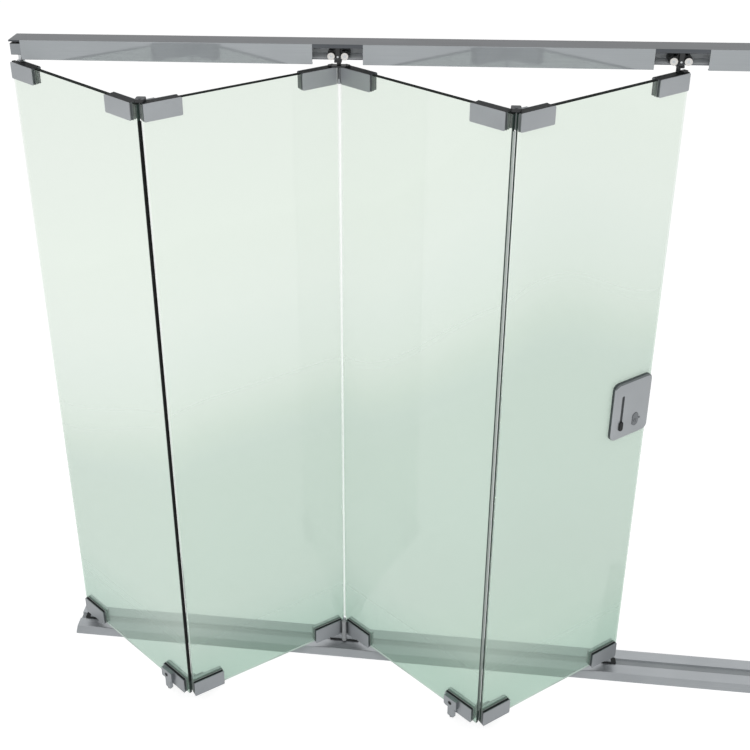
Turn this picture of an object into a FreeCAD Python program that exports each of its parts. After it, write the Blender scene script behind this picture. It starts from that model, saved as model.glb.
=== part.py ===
import FreeCAD, Part
import math
import os

import Sketcher

# Bifold glass patio door: four frameless glass panels in two folding pairs,
# hung from a head rail and guided by a floor track. X runs along the tracks,
# Y from the outside (minus) to the inside (plus), Z up from the floor.
# The origin lies in the middle of the floor track's underside.

DRIVING_SIZES = {
    # Glass
    "panel_width": 700.0,
    "panel_height": 2445.0,
    "glass_thickness": 12.0,
    "edge_setback": 6.0,
    "first_fold": 36.87,
    "second_fold": 38.04,
    "pair_gap": 6.0,
    "seal_thickness": 4.0,
    # Pivot line
    "apex_offset": 18.0,
    "pivot_inset": 41.0,
    # Floor track
    "track_height": 22.0,
    "track_foot_width": 168.0,
    "track_top_width": 124.0,
    "track_overrun": 25.0,
    "groove_width": 33.0,
    "groove_depth": 12.0,
    "floor_gap": 42.0,
    # Head rail
    "rail_rise": 34.0,
    "rail_height": 53.0,
    "rail_depth": 82.0,
    "rail_wall": 3.0,
    "rail_inset": 21.0,
    "rail_lip": 13.0,
    "runway_setback": 10.0,
    # Rail covers
    "cover_wall": 3.0,
    "cover_drop": 13.0,
    "cover_return": 9.0,
    "cover_inset": 61.0,
    "cover_gap": 163.0,
    # Patch fittings
    "patch_length": 128.0,
    "patch_depth": 38.0,
    "patch_web": 2.0,
    "patch_radius": 4.0,
    "slot_overrun": 2.0,
    "top_patch_height": 58.0,
    "bottom_patch_height": 68.0,
    "outer_near_inset": 6.0,
    "outer_far_inset": 24.0,
    "inner_inset": 18.0,
    # Hinges
    "barrel_radius": 9.0,
    "barrel_standoff": 0.5,
    "hinge_pin_radius": 4.0,
    "hinge_pin_clearance": 0.3,
    "hinge_leaf_depth": 8.0,
    "hinge_leaf_reach": 40.0,
    "knuckle_gap": 0.6,
    "hinge_cap_half_length": 15.0,
    "hinge_cap_front": 2.0,
    "hinge_cap_height": 10.0,
    "inner_barrel_radius": 6.5,
    # Carriages
    "wheel_tread_radius": 8.0,
    "wheel_flange_radius": 12.0,
    "wheel_tread_width": 8.0,
    "wheel_flange_width": 5.0,
    "wheel_spacing": 44.0,
    "wheel_side_gap": 1.0,
    "wheel_back_gap": 2.0,
    "running_clearance": 0.3,
    "axle_radius": 4.0,
    "body_width": 52.0,
    "body_rise": 4.0,
    "body_height": 24.0,
    "crown_width": 24.0,
    "crown_height": 9.0,
    "neck_width": 14.0,
    "neck_depth": 5.0,
    "foot_width": 24.0,
    "foot_height": 8.0,
    "foot_back": 12.0,
    # Pivot plates on the fittings
    "plate_depth": 6.0,
    "hanger_reach": 20.0,
    "hanger_hub": 28.0,
    "guide_reach": 56.0,
    "guide_hub": 20.0,
    "hub_front": 16.0,
    "hub_back": 10.0,
    "king_pin_radius": 7.0,
    # Fixed head pivot
    "pivot_block_length": 62.0,
    "pivot_block_height": 38.0,
    "pivot_block_margin": 2.0,
    "pivot_pin_radius": 8.0,
    "pivot_pin_clearance": 1.0,
    # Floor guides
    "guide_clearance": 1.0,
    "guide_outward": 44.0,
    "guide_inward": 14.0,
    "guide_middle": 60.0,
    "guide_rise": 6.0,
    "pillar_radius": 9.6,
    "pillar_offset": 16.5,
    # Lock
    "lock_width": 176.0,
    "lock_height": 236.0,
    "lock_plate": 16.0,
    "lock_radius": 24.0,
    "lock_edge_inset": 14.0,
    "lock_back_inset": 26.0,
    "lock_centre_height": 1231.0,
    "slot_width": 12.0,
    "slot_length": 126.0,
    "slot_depth": 4.0,
    "slot_inset": 41.0,
    "slot_rise": 2.0,
    "slider_width": 18.0,
    "slider_length": 38.0,
    "slider_standout": 5.0,
    "cylinder_width": 28.0,
    "cylinder_height": 54.0,
    "cylinder_inset": 66.0,
    "cylinder_drop": 54.0,
    "cylinder_standout": 2.0,
    # Foot bolts
    "bolt_case_inset": 6.0,
    "bolt_case_width": 60.0,
    "bolt_case_height": 44.0,
    "bolt_case_depth": 14.0,
    "bolt_case_margin": 2.0,
    "bolt_nose_inset": 20.0,
    "bolt_nose_width": 30.0,
    "bolt_nose_drop": 22.0,
    "bolt_radius": 6.5,
    "bolt_length": 6.0,
}

PARTS_FOLDER = "parts"

# How near to 1 the cosine between two directions must be to count as parallel
PARALLEL = 0.999

doc = FreeCAD.newDocument("BifoldDoor")
sheet = doc.addObject("Spreadsheet::Sheet", "Sizes")
for row, (alias, number) in enumerate(DRIVING_SIZES.items(), start=1):
    sheet.set(f"A{row}", alias)
    sheet.set(f"B{row}", str(number))
    sheet.setAlias(f"B{row}", alias)
doc.recompute()


class Size:
    """A length or ratio, kept both as expression text and as a number."""

    def __init__(self, text, number):
        self.text = text
        self.number = number

    def __add__(self, other):
        other = as_size(other)
        return Size(f"({self.text} + {other.text})", self.number + other.number)

    def __sub__(self, other):
        other = as_size(other)
        return Size(f"({self.text} - {other.text})", self.number - other.number)

    def __mul__(self, other):
        other = as_size(other)
        return Size(f"({self.text} * {other.text})", self.number * other.number)

    def __truediv__(self, other):
        other = as_size(other)
        return Size(f"({self.text} / {other.text})", self.number / other.number)

    def __neg__(self):
        return Size(f"(0 - {self.text})", -self.number)


def as_size(value):
    """Return value as a Size."""
    if isinstance(value, Size):
        return value
    return Size(repr(float(value)), float(value))


def size(alias):
    """Return the Size of one cell of the sheet."""
    return Size(f"Sizes.{alias}", float(sheet.get(alias)))


def cosine(angle):
    """Return the cosine of an angle in degrees."""
    return Size(f"cos({angle.text} * 1 deg)", math.cos(math.radians(angle.number)))


def sine(angle):
    """Return the sine of an angle in degrees."""
    return Size(f"sin({angle.text} * 1 deg)", math.sin(math.radians(angle.number)))


ZERO = as_size(0)


class Frame:
    """Where a sub-part's own axes lie: a base point and a turn about Z."""

    def __init__(self, base_x, base_y, turn=ZERO):
        self.base_x = base_x
        self.base_y = base_y
        self.turn = turn


DOOR = Frame(ZERO, ZERO)


def place(obj, frame):
    """Bind an object's Placement to a frame."""
    obj.setExpression("Placement.Base.x", frame.base_x.text)
    obj.setExpression("Placement.Base.y", frame.base_y.text)
    obj.Placement.Rotation = FreeCAD.Rotation(FreeCAD.Vector(0, 0, 1), frame.turn.number)
    obj.setExpression("Placement.Rotation.Angle", frame.turn.text)


def make_body(name, frame):
    """Return a new labelled body placed in a frame."""
    body = doc.addObject("PartDesign::Body", name)
    body.Label = name
    place(body, frame)
    return body


def plane_of(body, role):
    """Return one of the body's own origin planes."""
    return next(f for f in body.Origin.OriginFeatures if f.Role == role)


def sketch_outline(body, name, role, corners, lift=ZERO):
    """Draw a closed outline of straight lines, each corner bound to its sizes."""
    sketch = body.newObject("Sketcher::SketchObject", name)
    sketch.AttachmentSupport = [(plane_of(body, role), "")]
    sketch.MapMode = "FlatFace"
    sketch.setExpression("AttachmentOffset.Base.z", lift.text)
    points = [FreeCAD.Vector(u.number, v.number, 0) for u, v in corners]
    count = len(points)
    for index in range(count):
        sketch.addGeometry(Part.LineSegment(points[index], points[(index + 1) % count]), False)
    for index in range(count):
        joined = Sketcher.Constraint("Coincident", index, 2, (index + 1) % count, 1)
        sketch.addConstraint(joined)
    for index, (u, v) in enumerate(corners):
        for kind, value in (("DistanceX", u), ("DistanceY", v)):
            number = sketch.addConstraint(Sketcher.Constraint(kind, -1, 1, index, 1, value.number))
            sketch.setExpression(f"Constraints[{number}]", value.text)
    return sketch


def rectangle(left, right, low, high):
    """Return the four corners of a rectangle."""
    return [(left, low), (right, low), (right, high), (left, high)]


def pad(body, name, sketch, length, backward=False):
    """Pad a sketch by a bound length."""
    feature = body.newObject("PartDesign::Pad", name)
    feature.Profile = sketch
    feature.Length = length.number
    feature.setExpression("Length", length.text)
    feature.Reversed = backward
    sketch.Visibility = False
    doc.recompute()
    return feature


def pocket(body, name, sketch, length, backward=False):
    """Cut a sketch's outline to a bound depth, and check that it cuts."""
    before = body.Shape.Volume
    feature = body.newObject("PartDesign::Pocket", name)
    feature.Profile = sketch
    feature.Length = length.number
    feature.setExpression("Length", length.text)
    feature.Reversed = backward
    sketch.Visibility = False
    doc.recompute()
    if body.Shape.Volume >= before:
        raise RuntimeError(f"{body.Label}: {name} cuts nothing")
    return feature


def round_edges(body, feature, axis, radius):
    """Fillet the feature's straight edges that run along one axis."""
    names = []
    for index, edge in enumerate(feature.Shape.Edges, start=1):
        if not isinstance(edge.Curve, Part.Line):
            continue
        along = edge.tangentAt(edge.FirstParameter)
        if abs(along.dot(axis)) > PARALLEL:
            names.append(f"Edge{index}")
    fillet = body.newObject("PartDesign::Fillet", "Rounding")
    fillet.Base = (feature, names)
    fillet.Radius = radius.number
    fillet.setExpression("Radius", radius.text)
    doc.recompute()
    return fillet


def bind_circle(sketch, u, v, radius):
    """Bind a sketch's circle to its centre and radius."""
    for kind, value in (("DistanceX", u), ("DistanceY", v)):
        centred = Sketcher.Constraint(kind, -1, 1, 0, 3, value.number)
        number = sketch.addConstraint(centred)
        sketch.setExpression(f"Constraints[{number}]", value.text)
    number = sketch.addConstraint(Sketcher.Constraint("Radius", 0, radius.number))
    sketch.setExpression(f"Constraints[{number}]", radius.text)


def upright_cylinder(name, frame, along, across, low, high, radius):
    """Return an upright round bar between two heights."""
    body = make_body(name, frame)
    sketch = body.newObject("Sketcher::SketchObject", "Round")
    sketch.AttachmentSupport = [(plane_of(body, "XY_Plane"), "")]
    sketch.MapMode = "FlatFace"
    sketch.setExpression("AttachmentOffset.Base.z", low.text)
    centre = FreeCAD.Vector(along.number, across.number, 0)
    sketch.addGeometry(Part.Circle(centre, FreeCAD.Vector(0, 0, 1), radius.number), False)
    bind_circle(sketch, along, across, radius)
    pad(body, "Bar", sketch, high - low)
    return body


def upright_block(name, frame, left, right, front, back, low, high):
    """Return an upright box given by its six faces in a frame."""
    body = make_body(name, frame)
    sketch = sketch_outline(body, "Plan", "XY_Plane", rectangle(left, right, front, back), low)
    pad(body, "Block", sketch, high - low)
    return body


def gather(name, pieces):
    """Return one sub-part that holds several solids which don't touch."""
    group = doc.addObject("Part::Compound", name)
    group.Label = name
    group.Links = pieces
    return group


def join(name, pieces):
    """Return one solid made of overlapping pieces."""
    joined = doc.addObject("Part::MultiFuse", name)
    joined.Label = name
    joined.Shapes = pieces
    joined.Refine = True
    doc.recompute()
    return joined


sub_parts = []


def keep(obj):
    """Record a finished sub-part for export."""
    sub_parts.append(obj)
    return obj


# Levels and frames worked out from the driving sizes

width = size("panel_width")
half_glass = size("glass_thickness") / 2
track_top = size("track_height")
glass_low = track_top + size("floor_gap")
glass_high = glass_low + size("panel_height")
rail_low = glass_high + size("rail_rise")
rail_high = rail_low + size("rail_height")
rail_front = -(size("rail_depth") / 2)
rail_back = size("rail_depth") / 2
opening_half = width * 2

first_turn = -size("first_fold")
second_turn = -size("second_fold")
first_span = width * cosine(first_turn)
second_span = width * cosine(second_turn)
first_reach = width * sine(size("first_fold"))
second_reach = width * sine(size("second_fold"))

start_x = -opening_half
apex_y = size("apex_offset")
middle_x = start_x + first_span * 2
later_x = middle_x + size("pair_gap")
end_x = later_x + second_span * 2

PANELS = {
    "one": Frame(start_x, apex_y, first_turn),
    "two": Frame(start_x + first_span, apex_y - first_reach, size("first_fold")),
    "three": Frame(later_x, apex_y, second_turn),
    "four": Frame(later_x + second_span, apex_y - second_reach, size("second_fold")),
}

pivot_xs = {
    "start": start_x + size("pivot_inset"),
    "middle": middle_x + size("pair_gap") / 2,
    "end": end_x - size("pivot_inset"),
}


# Glass panels

setback = size("edge_setback")
for word, frame in PANELS.items():
    keep(upright_block(
        f"glass_panel_{word}", frame, setback, width - setback,
        -half_glass, half_glass, glass_low, glass_high,
    ))


# Edge seals on the panels' edges that meet another panel

seal = size("seal_thickness")
SEALS = (
    ("one", "end", width - setback, width - setback + seal),
    ("two", "end", width - setback, width - setback + seal),
    ("three", "start", setback - seal, setback),
    ("three", "end", width - setback, width - setback + seal),
)
keep(gather("edge_seals", [
    upright_block(
        f"seal_{word}_{side}", PANELS[word], left, right, -half_glass, half_glass,
        glass_low + size("bottom_patch_height"), glass_high - size("top_patch_height"),
    )
    for word, side, left, right in SEALS
]))


# Floor track: a low ramped sill with a guide groove

track_left = -opening_half - size("track_overrun")
track_length = opening_half * 2 + size("track_overrun") * 2
foot = size("track_foot_width") / 2
crest = size("track_top_width") / 2
groove = size("groove_width") / 2
groove_floor = track_top - size("groove_depth")
track = make_body("floor_track", Frame(track_left, ZERO))
section = sketch_outline(track, "Section", "YZ_Plane", [
    (-foot, ZERO), (foot, ZERO), (crest, track_top), (groove, track_top),
    (groove, groove_floor), (-groove, groove_floor), (-groove, track_top), (-crest, track_top),
])
pad(track, "Extrusion", section, track_length)
keep(track)


# Head rail: an extrusion open at the front, with a runway for the wheels

wall = size("rail_wall")
rail_left = -opening_half + size("rail_inset")
rail_length = (opening_half - size("rail_inset")) * 2
runway_front = rail_front + size("runway_setback")
runway_top = rail_low + wall
rail = make_body("head_rail", Frame(rail_left, ZERO))
section = sketch_outline(rail, "Section", "YZ_Plane", [
    (runway_front, rail_low), (rail_back, rail_low), (rail_back, rail_high),
    (rail_front, rail_high), (rail_front, rail_high - size("rail_lip")),
    (rail_front + wall, rail_high - size("rail_lip")), (rail_front + wall, rail_high - wall),
    (rail_back - wall, rail_high - wall), (rail_back - wall, runway_top),
    (runway_front, runway_top),
])
pad(rail, "Extrusion", section, rail_length)
hole = rail.newObject("Sketcher::SketchObject", "PivotHole")
hole.AttachmentSupport = [(plane_of(rail, "XY_Plane"), "")]
hole.MapMode = "FlatFace"
hole.setExpression("AttachmentOffset.Base.z", rail_low.text)
hole_x = pivot_xs["start"] - rail_left
hole_radius = size("pivot_pin_radius") + size("pivot_pin_clearance")
hole_centre = FreeCAD.Vector(hole_x.number, 0, 0)
hole.addGeometry(Part.Circle(hole_centre, FreeCAD.Vector(0, 0, 1), hole_radius.number), False)
bind_circle(hole, hole_x, ZERO, hole_radius)
pocket(rail, "PivotOpening", hole, wall, backward=True)
keep(rail)


# Rail covers, with a gap left open at each carriage

cover_front = rail_front - size("cover_wall")
cover_low = rail_low - size("cover_drop")
cover_return = rail_front + size("cover_return")
half_gap = size("cover_gap") / 2
cover_left = -opening_half + size("cover_inset")
cover_right = opening_half - size("cover_inset")
COVERS = {
    "left": (cover_left, pivot_xs["middle"] - half_gap),
    "middle": (pivot_xs["middle"] + half_gap, pivot_xs["end"] - half_gap),
    "right": (pivot_xs["end"] + half_gap, cover_right),
}
for word, (left, right) in COVERS.items():
    cover = make_body(f"rail_cover_{word}", Frame(left, ZERO))
    section = sketch_outline(cover, "Section", "YZ_Plane", [
        (cover_front, cover_low), (cover_return, cover_low),
        (cover_return, cover_low + size("cover_wall")),
        (rail_front, cover_low + size("cover_wall")),
        (rail_front, rail_high), (cover_front, rail_high),
    ])
    pad(cover, "Extrusion", section, right - left)
    keep(cover)


# Patch fittings: each clamps a corner of the glass and covers its edge

half_patch = size("patch_depth") / 2
web = size("patch_web")
top_patch_high = glass_high + web
top_patch_low = top_patch_high - size("top_patch_height")
bottom_patch_low = glass_low - web
bottom_patch_high = bottom_patch_low + size("bottom_patch_height")
length = size("patch_length")
across_axis = FreeCAD.Vector(0, 1, 0)


def patch_fitting(name, frame, left, low, high, slot_low, slot_high):
    """Return a fitting whose slot takes the glass between two heights."""
    body = make_body(name, frame)
    outline = rectangle(left, left + length, low, high)
    face = sketch_outline(body, "Face", "XZ_Plane", outline, -half_patch)
    block = pad(body, "Block", face, size("patch_depth"))
    round_edges(body, block, across_axis, size("patch_radius"))
    margin = size("slot_overrun")
    opening = rectangle(left - margin, left + length + margin, slot_low, slot_high)
    slot = sketch_outline(body, "GlassSlot", "XZ_Plane", opening, -half_glass)
    pocket(body, "Slot", slot, size("glass_thickness"), backward=True)
    return keep(body)


near_outer = size("outer_near_inset")
far_outer = width - size("outer_far_inset") - length
near_inner = size("inner_inset")
far_inner = width - size("inner_inset") - length
FITTINGS = (
    ("one", "start", near_inner), ("one", "end", far_outer),
    ("two", "start", near_outer), ("two", "end", far_inner),
    ("three", "start", near_inner), ("three", "end", far_outer),
    ("four", "start", near_outer), ("four", "end", far_inner),
)
for word, side, left in FITTINGS:
    frame = PANELS[word]
    patch_fitting(
        f"top_fitting_{word}_{side}", frame, left,
        top_patch_low, top_patch_high, top_patch_low - web, glass_high,
    )
    patch_fitting(
        f"bottom_fitting_{word}_{side}", frame, left,
        bottom_patch_low, bottom_patch_high, glass_low, bottom_patch_high + web,
    )


# Outer hinges: knuckles behind the two corners that fold outwards

pin_radius = size("hinge_pin_radius")
barrel_radius = size("barrel_radius")
barrel_offset = half_patch + barrel_radius + size("barrel_standoff")
leaf_back = half_patch + size("hinge_leaf_depth")
CORNERS = {
    "first": ("one", "two", start_x + first_span, apex_y - first_reach, size("first_fold")),
    "second": ("three", "four", later_x + second_span, apex_y - second_reach,
               size("second_fold")),
}
LEVELS = {
    "top": (top_patch_low, top_patch_high),
    "bottom": (bottom_patch_low, bottom_patch_high),
}


def hinge_half(name, panel_frame, corner_frame, left, right, low, high):
    """Return one leaf with its knuckle, bored for the pin."""
    leaf = upright_block(f"{name}_leaf", panel_frame, left, right, half_patch, leaf_back,
                         low, high)
    knuckle = upright_cylinder(f"{name}_knuckle", corner_frame, ZERO, ZERO, low, high,
                               barrel_radius)
    joined = join(f"{name}_solid", [leaf, knuckle])
    bore = upright_cylinder(f"{name}_bore", corner_frame, ZERO, ZERO, low, high,
                            pin_radius + size("hinge_pin_clearance"))
    half = doc.addObject("Part::Cut", name)
    half.Base = joined
    half.Tool = bore
    return half


hinge_pins = []
hinge_caps = []
hinge_halves = []
for corner, (left_panel, right_panel, corner_x, corner_y, fold) in CORNERS.items():
    set_back = barrel_offset / cosine(fold)
    reach = set_back * sine(fold)
    centre = Frame(corner_x, corner_y + set_back)
    for level, (low, high) in LEVELS.items():
        middle = (low + high) / 2
        split = size("knuckle_gap") / 2
        hinge_halves.append(hinge_half(
            f"{corner}_{level}_lower", PANELS[left_panel], centre,
            width - reach - size("hinge_leaf_reach"), width - reach, low, middle - split,
        ))
        hinge_halves.append(hinge_half(
            f"{corner}_{level}_upper", PANELS[right_panel], centre,
            reach, reach + size("hinge_leaf_reach"), middle + split, high,
        ))
        hinge_pins.append(upright_cylinder(
            f"{corner}_{level}_pin", centre, ZERO, ZERO, low, high, pin_radius,
        ))
    hinge_caps.append(upright_block(
        f"{corner}_cap", Frame(corner_x, corner_y),
        -size("hinge_cap_half_length"), size("hinge_cap_half_length"),
        size("hinge_cap_front"), set_back, top_patch_high,
        top_patch_high + size("hinge_cap_height"),
    ))
keep(gather("outer_hinges", hinge_halves))
keep(gather("hinge_caps", hinge_caps))


# Pivot plates: black plates on the fittings that carry the pivots

plate = size("plate_depth")


def pivot_plate(name, place_name, reach, hub, low, high, pin_low, pin_high):
    """Return the plate on the fittings at a pivot, with its upright pin."""
    pivot_x = pivot_xs[place_name]
    pieces = []
    if place_name in ("middle", "end"):
        word = "two" if place_name == "middle" else "four"
        right = width - size("inner_inset")
        pieces.append(upright_block(f"{name}_arm_{word}", PANELS[word], right - reach, right,
                                    -half_patch, half_patch, low, high))
    if place_name in ("middle", "start"):
        word = "three" if place_name == "middle" else "one"
        left = size("inner_inset")
        pieces.append(upright_block(f"{name}_arm_{word}", PANELS[word], left, left + reach,
                                    -half_patch, half_patch, low, high))
    if place_name == "middle":
        pieces.append(upright_block(f"{name}_hub", Frame(pivot_x, ZERO), -hub, hub,
                                    -size("hub_front"), size("hub_back"), low, high))
    pieces.append(upright_cylinder(f"{name}_pin", Frame(pivot_x, ZERO), ZERO, ZERO,
                                   pin_low, pin_high, size("king_pin_radius")))
    return pieces


# Carriages: a body on two axles, its neck reaching round the runway's edge

running = size("running_clearance")
tread = size("wheel_tread_radius")
axle_height = runway_top + tread + running
flange_back = runway_front - running
flange_front = flange_back - size("wheel_flange_width")
front_tread_back = flange_back + size("wheel_tread_width")
rear_tread_back = rail_back - wall - size("wheel_back_gap")
rear_tread_front = rear_tread_back - size("wheel_tread_width")
body_front = front_tread_back + size("wheel_side_gap")
body_back = rear_tread_front - size("wheel_side_gap")
neck_back = flange_back
neck_front = neck_back - size("neck_depth")
foot_high = rail_low - size("wheel_side_gap")
foot_low = foot_high - size("foot_height")
body_low = runway_top + size("body_rise")
body_high = body_low + size("body_height")
crown_high = body_high + size("crown_height")
half_spacing = size("wheel_spacing") / 2


def level_cylinder(name, frame, along, front, back, height, radius):
    """Return a round bar that lies along Y between two faces."""
    body = make_body(name, frame)
    sketch = body.newObject("Sketcher::SketchObject", "Round")
    sketch.AttachmentSupport = [(plane_of(body, "XZ_Plane"), "")]
    sketch.MapMode = "FlatFace"
    sketch.setExpression("AttachmentOffset.Base.z", (-back).text)
    centre = FreeCAD.Vector(along.number, height.number, 0)
    sketch.addGeometry(Part.Circle(centre, FreeCAD.Vector(0, 0, 1), radius.number), False)
    bind_circle(sketch, along, height, radius)
    pad(body, "Bar", sketch, back - front)
    return body


def bored(name, solid, bore):
    """Return a solid less a bore."""
    cut = doc.addObject("Part::Cut", name)
    cut.Base = solid
    cut.Tool = bore
    return cut


def carriage(word):
    """Build the carriage body, with its axles, and the four wheels."""
    frame = Frame(pivot_xs[word], ZERO)
    half_body = size("body_width") / 2
    half_crown = size("crown_width") / 2
    half_neck = size("neck_width") / 2
    half_foot = size("foot_width") / 2
    name = f"carriage_{word}"
    pieces = [
        upright_block(f"{name}_block", frame, -half_body, half_body, body_front, body_back,
                      body_low, body_high),
        upright_block(f"{name}_crown", frame, -half_crown, half_crown, body_front, body_back,
                      body_low, crown_high),
        upright_block(f"{name}_arm", frame, -half_neck, half_neck, neck_front, body_back,
                      body_low, crown_high),
        upright_block(f"{name}_neck", frame, -half_neck, half_neck, neck_front, neck_back,
                      foot_low, crown_high),
        upright_block(f"{name}_foot", frame, -half_foot, half_foot, neck_front,
                      size("foot_back"), foot_low, foot_high),
    ]
    wheels = []
    for side, along in (("left", -half_spacing), ("right", half_spacing)):
        pieces.append(level_cylinder(f"{name}_axle_{side}", frame, along, flange_front,
                                     rear_tread_back, axle_height, size("axle_radius")))
        flange = level_cylinder(f"{name}_{side}_flange", frame, along, flange_front,
                                flange_back, axle_height, size("wheel_flange_radius"))
        front = level_cylinder(f"{name}_{side}_front", frame, along, flange_front,
                               front_tread_back, axle_height, tread)
        rear = level_cylinder(f"{name}_{side}_rear", frame, along, rear_tread_front,
                              rear_tread_back, axle_height, tread)
        wheel = join(f"{name}_{side}_wheel", [flange, front])
        for end, solid in (("front", wheel), ("rear", rear)):
            bore = level_cylinder(f"{name}_{side}_{end}_bore", frame, along, flange_front,
                                  rear_tread_back, axle_height,
                                  size("axle_radius") + running)
            wheels.append(bored(f"{name}_{side}_{end}_bored", solid, bore))
    keep(join(f"{name}_body", pieces))
    keep(gather(f"{name}_wheels", wheels))


for word in ("middle", "end"):
    carriage(word)
    keep(join(f"hanger_plate_{word}", pivot_plate(
        f"hanger_{word}", word, size("hanger_reach"), size("hanger_hub"),
        top_patch_high, top_patch_high + plate, top_patch_high, foot_low,
    )))


# Fixed head pivot: a block in the rail's end, with a pin down to the fitting

block_margin = size("pivot_block_margin")
block_left = rail_left + block_margin
keep(upright_block(
    "head_pivot_block", DOOR, block_left, block_left + size("pivot_block_length"),
    rail_front + wall, rail_back - wall - block_margin,
    runway_top, runway_top + size("pivot_block_height"),
))
keep(upright_cylinder(
    "head_pivot_pin", Frame(pivot_xs["start"], ZERO), ZERO, ZERO,
    top_patch_high, runway_top, size("pivot_pin_radius"),
))


# Inner hinge barrels between the fittings of the middle pair

for level, (low, high) in LEVELS.items():
    hinge_pins.append(upright_cylinder(
        f"inner_barrel_{level}", Frame(pivot_xs["middle"], ZERO), ZERO, ZERO, low, high,
        size("inner_barrel_radius"),
    ))
keep(gather("hinge_pins", hinge_pins))


# Floor guides: a shoe in the groove, a pin and the plate under the fittings. The middle one
# has a pillar in front of the joint.

shoe_half = groove - size("guide_clearance")
shoe_high = track_top + size("guide_rise")
GUIDES = {
    "start": (size("guide_outward"), size("guide_inward")),
    "middle": (size("guide_middle"), size("guide_middle")),
    "end": (size("guide_inward"), size("guide_outward")),
}
for word, (left, right) in GUIDES.items():
    pieces = pivot_plate(
        f"guide_{word}", word, size("guide_reach"), size("guide_hub"),
        bottom_patch_low - plate, bottom_patch_low, shoe_high, bottom_patch_low,
    )
    pieces.append(upright_block(f"guide_{word}_shoe", Frame(pivot_xs[word], ZERO), -left, right,
                                -shoe_half, shoe_half, groove_floor, shoe_high))
    if word == "middle":
        pieces.append(upright_cylinder(
            "guide_pillar", Frame(pivot_xs[word], -size("pillar_offset")), ZERO, ZERO,
            shoe_high, bottom_patch_high, size("pillar_radius"),
        ))
    keep(join(f"floor_guide_{word}", pieces))


# Lock on the last panel: a case on the front of the glass and a smaller plate behind it

lock_frame = PANELS["four"]
lock_right = width - size("lock_edge_inset")
lock_left = lock_right - size("lock_width")
lock_centre = glass_low + size("lock_centre_height")
lock_half = size("lock_height") / 2
lock_face = half_glass + size("lock_plate")


def rounded_block(name, frame, outline, front, back, radius):
    """Return an upright plate with rounded corners, between two depths."""
    body = make_body(name, frame)
    face = sketch_outline(body, "Face", "XZ_Plane", outline, -back)
    block = pad(body, "Block", face, back - front)
    round_edges(body, block, across_axis, radius)
    return body


lock_outline = rectangle(lock_left, lock_right, lock_centre - lock_half, lock_centre + lock_half)
front_plate = rounded_block("lock_front", lock_frame, lock_outline, -lock_face, -half_glass,
                            size("lock_radius"))
slot_left = lock_left + size("slot_inset")
slot_low = lock_centre + size("slot_rise") - size("slot_length") / 2
slot_outline = rectangle(slot_left - size("slot_width") / 2, slot_left + size("slot_width") / 2,
                         slot_low, slot_low + size("slot_length"))
slot_sketch = sketch_outline(front_plate, "SlotOutline", "XZ_Plane", slot_outline, lock_face)
pocket(front_plate, "Slot", slot_sketch, size("slot_depth"))
back_inset = size("lock_back_inset")
back_outline = rectangle(
    lock_left + back_inset, lock_right - back_inset,
    lock_centre - lock_half + back_inset, lock_centre + lock_half - back_inset,
)
back_plate = rounded_block("lock_back", lock_frame, back_outline, half_glass, lock_face,
                           size("lock_radius"))
keep(gather("lock_case", [front_plate, back_plate]))

slider_half = size("slider_width") / 2
keep(upright_block(
    "lock_slider", lock_frame, slot_left - slider_half, slot_left + slider_half,
    -lock_face - size("slider_standout"), -lock_face,
    slot_low - size("slider_length") / 2, slot_low + size("slider_length") / 2,
))

cylinder_x = lock_right - size("cylinder_inset")
cylinder_z = lock_centre - size("cylinder_drop")
cylinder_outline = rectangle(
    cylinder_x - size("cylinder_width") / 2, cylinder_x + size("cylinder_width") / 2,
    cylinder_z - size("cylinder_height") / 2, cylinder_z + size("cylinder_height") / 2,
)
cylinder_radius = size("cylinder_width") / 2 - size("running_clearance")
standout = lock_face + size("cylinder_standout")
keep(gather("lock_cylinder", [
    rounded_block("cylinder_front", lock_frame, cylinder_outline, -standout, -lock_face,
                  cylinder_radius),
    rounded_block("cylinder_back", lock_frame, cylinder_outline, lock_face, standout,
                  cylinder_radius),
]))


# Foot bolts on the two corners that fold outwards: a case with a narrow nose below it

case_left = far_outer + size("bolt_case_inset")
case_right = case_left + size("bolt_case_width")
case_high = bottom_patch_high - size("bolt_case_margin")
case_low = case_high - size("bolt_case_height")
nose_left = case_left + size("bolt_nose_inset")
nose_right = nose_left + size("bolt_nose_width")
nose_low = bottom_patch_low - size("bolt_nose_drop")
case_front = -half_patch - size("bolt_case_depth")


def bolt_case(word):
    """Return a foot bolt's case, drawn as one outline and rounded at its corners."""
    body = make_body(f"bolt_case_{word}", PANELS[word])
    face = sketch_outline(body, "Face", "XZ_Plane", [
        (case_left, case_low), (nose_left, case_low), (nose_left, nose_low),
        (nose_right, nose_low), (nose_right, case_low), (case_right, case_low),
        (case_right, case_high), (case_left, case_high),
    ], half_patch)
    block = pad(body, "Block", face, size("bolt_case_depth"))
    round_edges(body, block, across_axis, size("patch_radius"))
    return body


cases = []
bolts = []
for word in ("one", "three"):
    cases.append(bolt_case(word))
    bolts.append(upright_cylinder(
        f"bolt_{word}", PANELS[word], (nose_left + nose_right) / 2,
        (case_front - half_patch) / 2, nose_low - size("bolt_length"), nose_low,
        size("bolt_radius"),
    ))
keep(gather("foot_bolt_cases", cases))
keep(gather("foot_bolts", bolts))

doc.recompute()


# Every object is checked, then each sub-part is written to its own file

for obj in doc.Objects:
    if "Invalid" in obj.State or "Error" in obj.State:
        raise RuntimeError(f"{obj.Label}: {obj.State}")
for obj in sub_parts:
    if obj.Shape.isNull() or not obj.Shape.isValid():
        raise RuntimeError(f"{obj.Label}: its shape is not valid")

os.makedirs(PARTS_FOLDER, exist_ok=True)
for obj in sub_parts:
    obj.Shape.exportStep(f"{PARTS_FOLDER}/{obj.Label}.step")
print(f"{len(sub_parts)} sub-parts written")
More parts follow.
